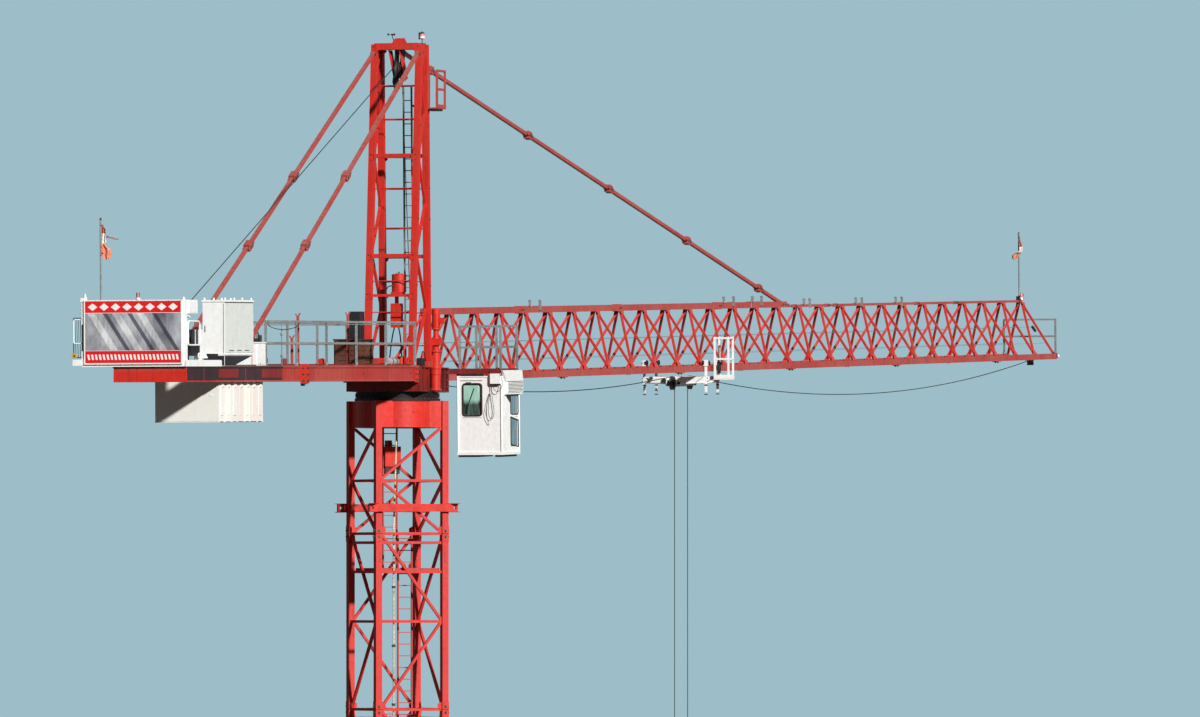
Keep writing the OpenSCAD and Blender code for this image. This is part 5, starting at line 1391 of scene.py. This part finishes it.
dress(white_paint, "trolley_frame", "trolley_basket")
dress(black_steel, "trolley_rollers", "trolley_sheaves")
CARRIAGE = JIB @ Matrix.Translation((11.07, 0, 0))
carriage, carriage_dark = Form(CARRIAGE), Form(CARRIAGE)
for sx, sy in corners:
    post, out = np.array((sx * 0.255, sy * 0.442, 0)), sy * Y
    x, y, _ = post
    carriage.stand(post + 0.035 * Z, 0.027, 0.083)
    carriage_dark.disc((x + 0.03, y + sy * 0.01, 0.075), X, 0.044, 0.018, 0.004, 24)
    carriage_dark.stand(post - 0.235 * Z, 0.017, 0.02)
    carriage_dark.disc(post - 0.358 * Z, Z, 0.024, 0.014, 0.003, 18)
    corner = post + 0.0155 * out - 0.115 * Z
    carriage.plate(flat(corner, -sx * X, Z, [(0, 0), (0.10, 0), (0, -0.08)]), 0.006 * out)
    carriage_dark.bolt(post + 0.022 * out + places(0, 0, (0.085, 0.06, -0.13, -0.17)), out, 0.012)
    carriage.bar((x, sy * 0.42, -0.19), (x, sy * 0.16, -0.2), 0.06, 0.01)
    carriage_dark.bar((x - 0.021, sy * 0.40, -0.12), (x - 0.021, sy * 0.30, -0.19), 0.004, 0.03, X)
    carriage_dark.disc((sx * 0.378, sy * 0.078, -0.195), out, 0.026, 0.02, 0.003, 20)
    carriage_dark.bolt((sx * 0.378, sy * 0.098, -0.195), out, 0.022)
for y in (-0.0805, 0.0805):
    carriage.bar((-0.36, y, -0.225), (0.36, y, -0.165), 0.006, 0.018)
floor_sheet = [(-0.30, -0.06), (0.30, -0.06), (0.30, 0.06), (-0.30, 0.06)]
carriage.plate(flat(-0.237 * Z, X, Y, floor_sheet), -0.004 * Z, 1)
carriage.box((-0.30, 0.10, -0.19), (-0.275, 0.36, -0.12))
carriage_dark.disc((-0.31, 0.14, -0.155), -X, 0.03, 0.02, 0.004, 20)
piece("trolley_gussets", carriage, (white_paint, grey_paint), 0.001, "trolley")
piece("trolley_dark_parts", carriage_dark, black_steel, 0.001, "trolley")
basket, basket_dark = Form(CARRIAGE), Form(CARRIAGE)
for y in np.arange(-0.668, -0.46, 0.022):
    basket.bar((0.05, y, -0.139), (0.265, y, -0.139), 0.004, 0.006)
for x in np.arange(0.065, 0.26, 0.03):
    basket.bar((x, -0.675, -0.139), (x, -0.459, -0.139), 0.004, 0.006)
basket.boxes([(x, -0.677, -0.141, x + 0.003, -0.457, -0.09) for x in (0.042, 0.27)])
basket.box((0.045, -0.68, -0.141), (0.27, -0.677, -0.09))
basket.disc(places((0.057, 0.258), (-0.665, -0.469), 0.425), Z, 0.012, 0.006, 0.002, 12)
for z in (-0.12, 0.05):
    basket.bar((0.255, -0.47, z), (0.255, -0.447, z), 0.04, 0.02)
basket_dark.box((0.10, -0.52, -0.07), (0.16, -0.485, 0.09))
basket_dark.disc((0.13, -0.502, 0.09), Z, 0.015, 0.05, 0.006, 16)
piece("basket_mesh", basket, white_paint, 0, "trolley")
piece("basket_box", basket_dark, black_steel, 0.002, "trolley")


# Hook block: yellow cheek plates with black slanted stripes and bolts, and a safety latch across
# the hook's mouth. It hangs plumb on its falls, below what the photograph shows.

dress(yellow_paint, "hook_block")
dress(rope_finish, "hook_falls")
FALLS = 5.21
HOOK = Matrix.Translation(CARRIAGE @ Vector((0, 0, -0.195)) - Vector((0, 0, FALLS)))
block, block_bolts = Form(HOOK), Form(HOOK)
for side in (-1, 1):
    face, out = side * 0.046, side * Y
    for x in (-0.2, -0.08, 0.04, 0.16):
        stripe = [(0, 0), (0.04, 0), (0.11, 0.23), (0.07, 0.23)]
        block.plate(flat((x, face, -0.01), X, Z, stripe), 0.001 * out)
    block_bolts.bolt(places((-0.27, -0.19, 0.19, 0.27), face, (0.02, 0.19)), out, 0.018)
    block_bolts.disc(places((-0.19, 0.19), face, 0.11), out, 0.03, 0.012, 0.003, 20)
block.bar((-0.02, 0, -0.15), (0.075, 0, -0.255), 0.02, 0.008)
block_bolts.disc((0, 0, -0.19), Z, 0.034, 0.02, 0.004, 24)
piece("hook_block_stripes", block, black_steel, 0, "trolley")
piece("hook_block_bolts", block_bolts, bolts_steel, 0, "trolley")


# Slack ropes: wire rope that hangs between the jib's root and the trolley, and on to the tip. The sag
# is what the photograph shows.

ROPE = 0.012


def slack(start, end, sag, steps):
    """A hanging rope as a shallow parabola: the straight line less 4 * sag * s * (1 - s)."""
    s = np.linspace(0, 1, steps + 1)[:, None]
    line = np.array(start) + (np.array(end) - start) * s
    return world_points(JIB, line - 4 * sag * s * (1 - s) * Z)


root_path = slack((0.1356, 0, -0.037), (10.692, 0, -0.102), 0.175, 32)
tip_path = slack((11.448, 0, -0.102), (27.64, 0, -0.06), 0.37, 38)
root_rope = cord("root_rope", root_path, ROPE, rope_finish, None)
tip_rope = cord("tip_rope", tip_path, ROPE, rope_finish, None)
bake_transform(root_rope)
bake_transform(tip_rope)
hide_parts("rope_runs")
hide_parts("rope_runs")


# Floor and light: a pale floor, one key lamp like a low sun from behind the camera's right, a faint
# broad fill from ahead, and a dim even glow. The camera sees plain sky instead of the glow.

FLOOR_REACH = 75
floor_finish, floor_tree, floor_shader = finish("floor")
cloud = noise(floor_tree, object_place(floor_tree), 0.2, 3)
pale = blend(floor_tree, cloud, srgb(206, 208, 208), srgb(214, 215, 214))
floor_tree.links.new(pale, floor_shader.inputs["Base Color"])
floor_shader.inputs["Roughness"].default_value = 0.9
floor = object_of("floor", FLOOR_REACH * around(96), [tuple(range(96))], [0], [floor_finish])
floor.data.shade_flat()
floor.visible_diffuse = False


def sun(name, towards, strength, softness):
    """A distant soft lamp; towards points from the object to the lamp."""
    lamp = bpy.data.lights.new(name, "SUN")
    lamp.energy = strength
    lamp.angle = math.radians(softness)
    made = bpy.data.objects.new(name, lamp)
    made.rotation_euler = Vector(towards).to_track_quat("Z", "Y").to_euler()
    scene.collection.objects.link(made)


sun("key", (-0.63, -0.69, 0.41), 4.55, 3)
sun("fill", (0.60, -0.70, 0.40), 0.25, 40)
world = bpy.data.worlds.new("studio")
world.use_nodes = True
scene.world = world
sky = world.node_tree
seen = sky.nodes.new("ShaderNodeLightPath").outputs["Is Camera Ray"]
rise = put(sky, "SeparateXYZ", {0: sky.nodes.new("ShaderNodeTexCoord").outputs["Generated"]}).outputs[2]
glow = blend(sky, ramp(sky, rise, -0.3, 0.5), (0.045, 0.045, 0.045, 1), (0.125, 0.125, 0.13, 1))
sky.links.new(blend(sky, seen, glow, srgb(157, 190, 200)), sky.nodes["Background"].inputs["Color"])
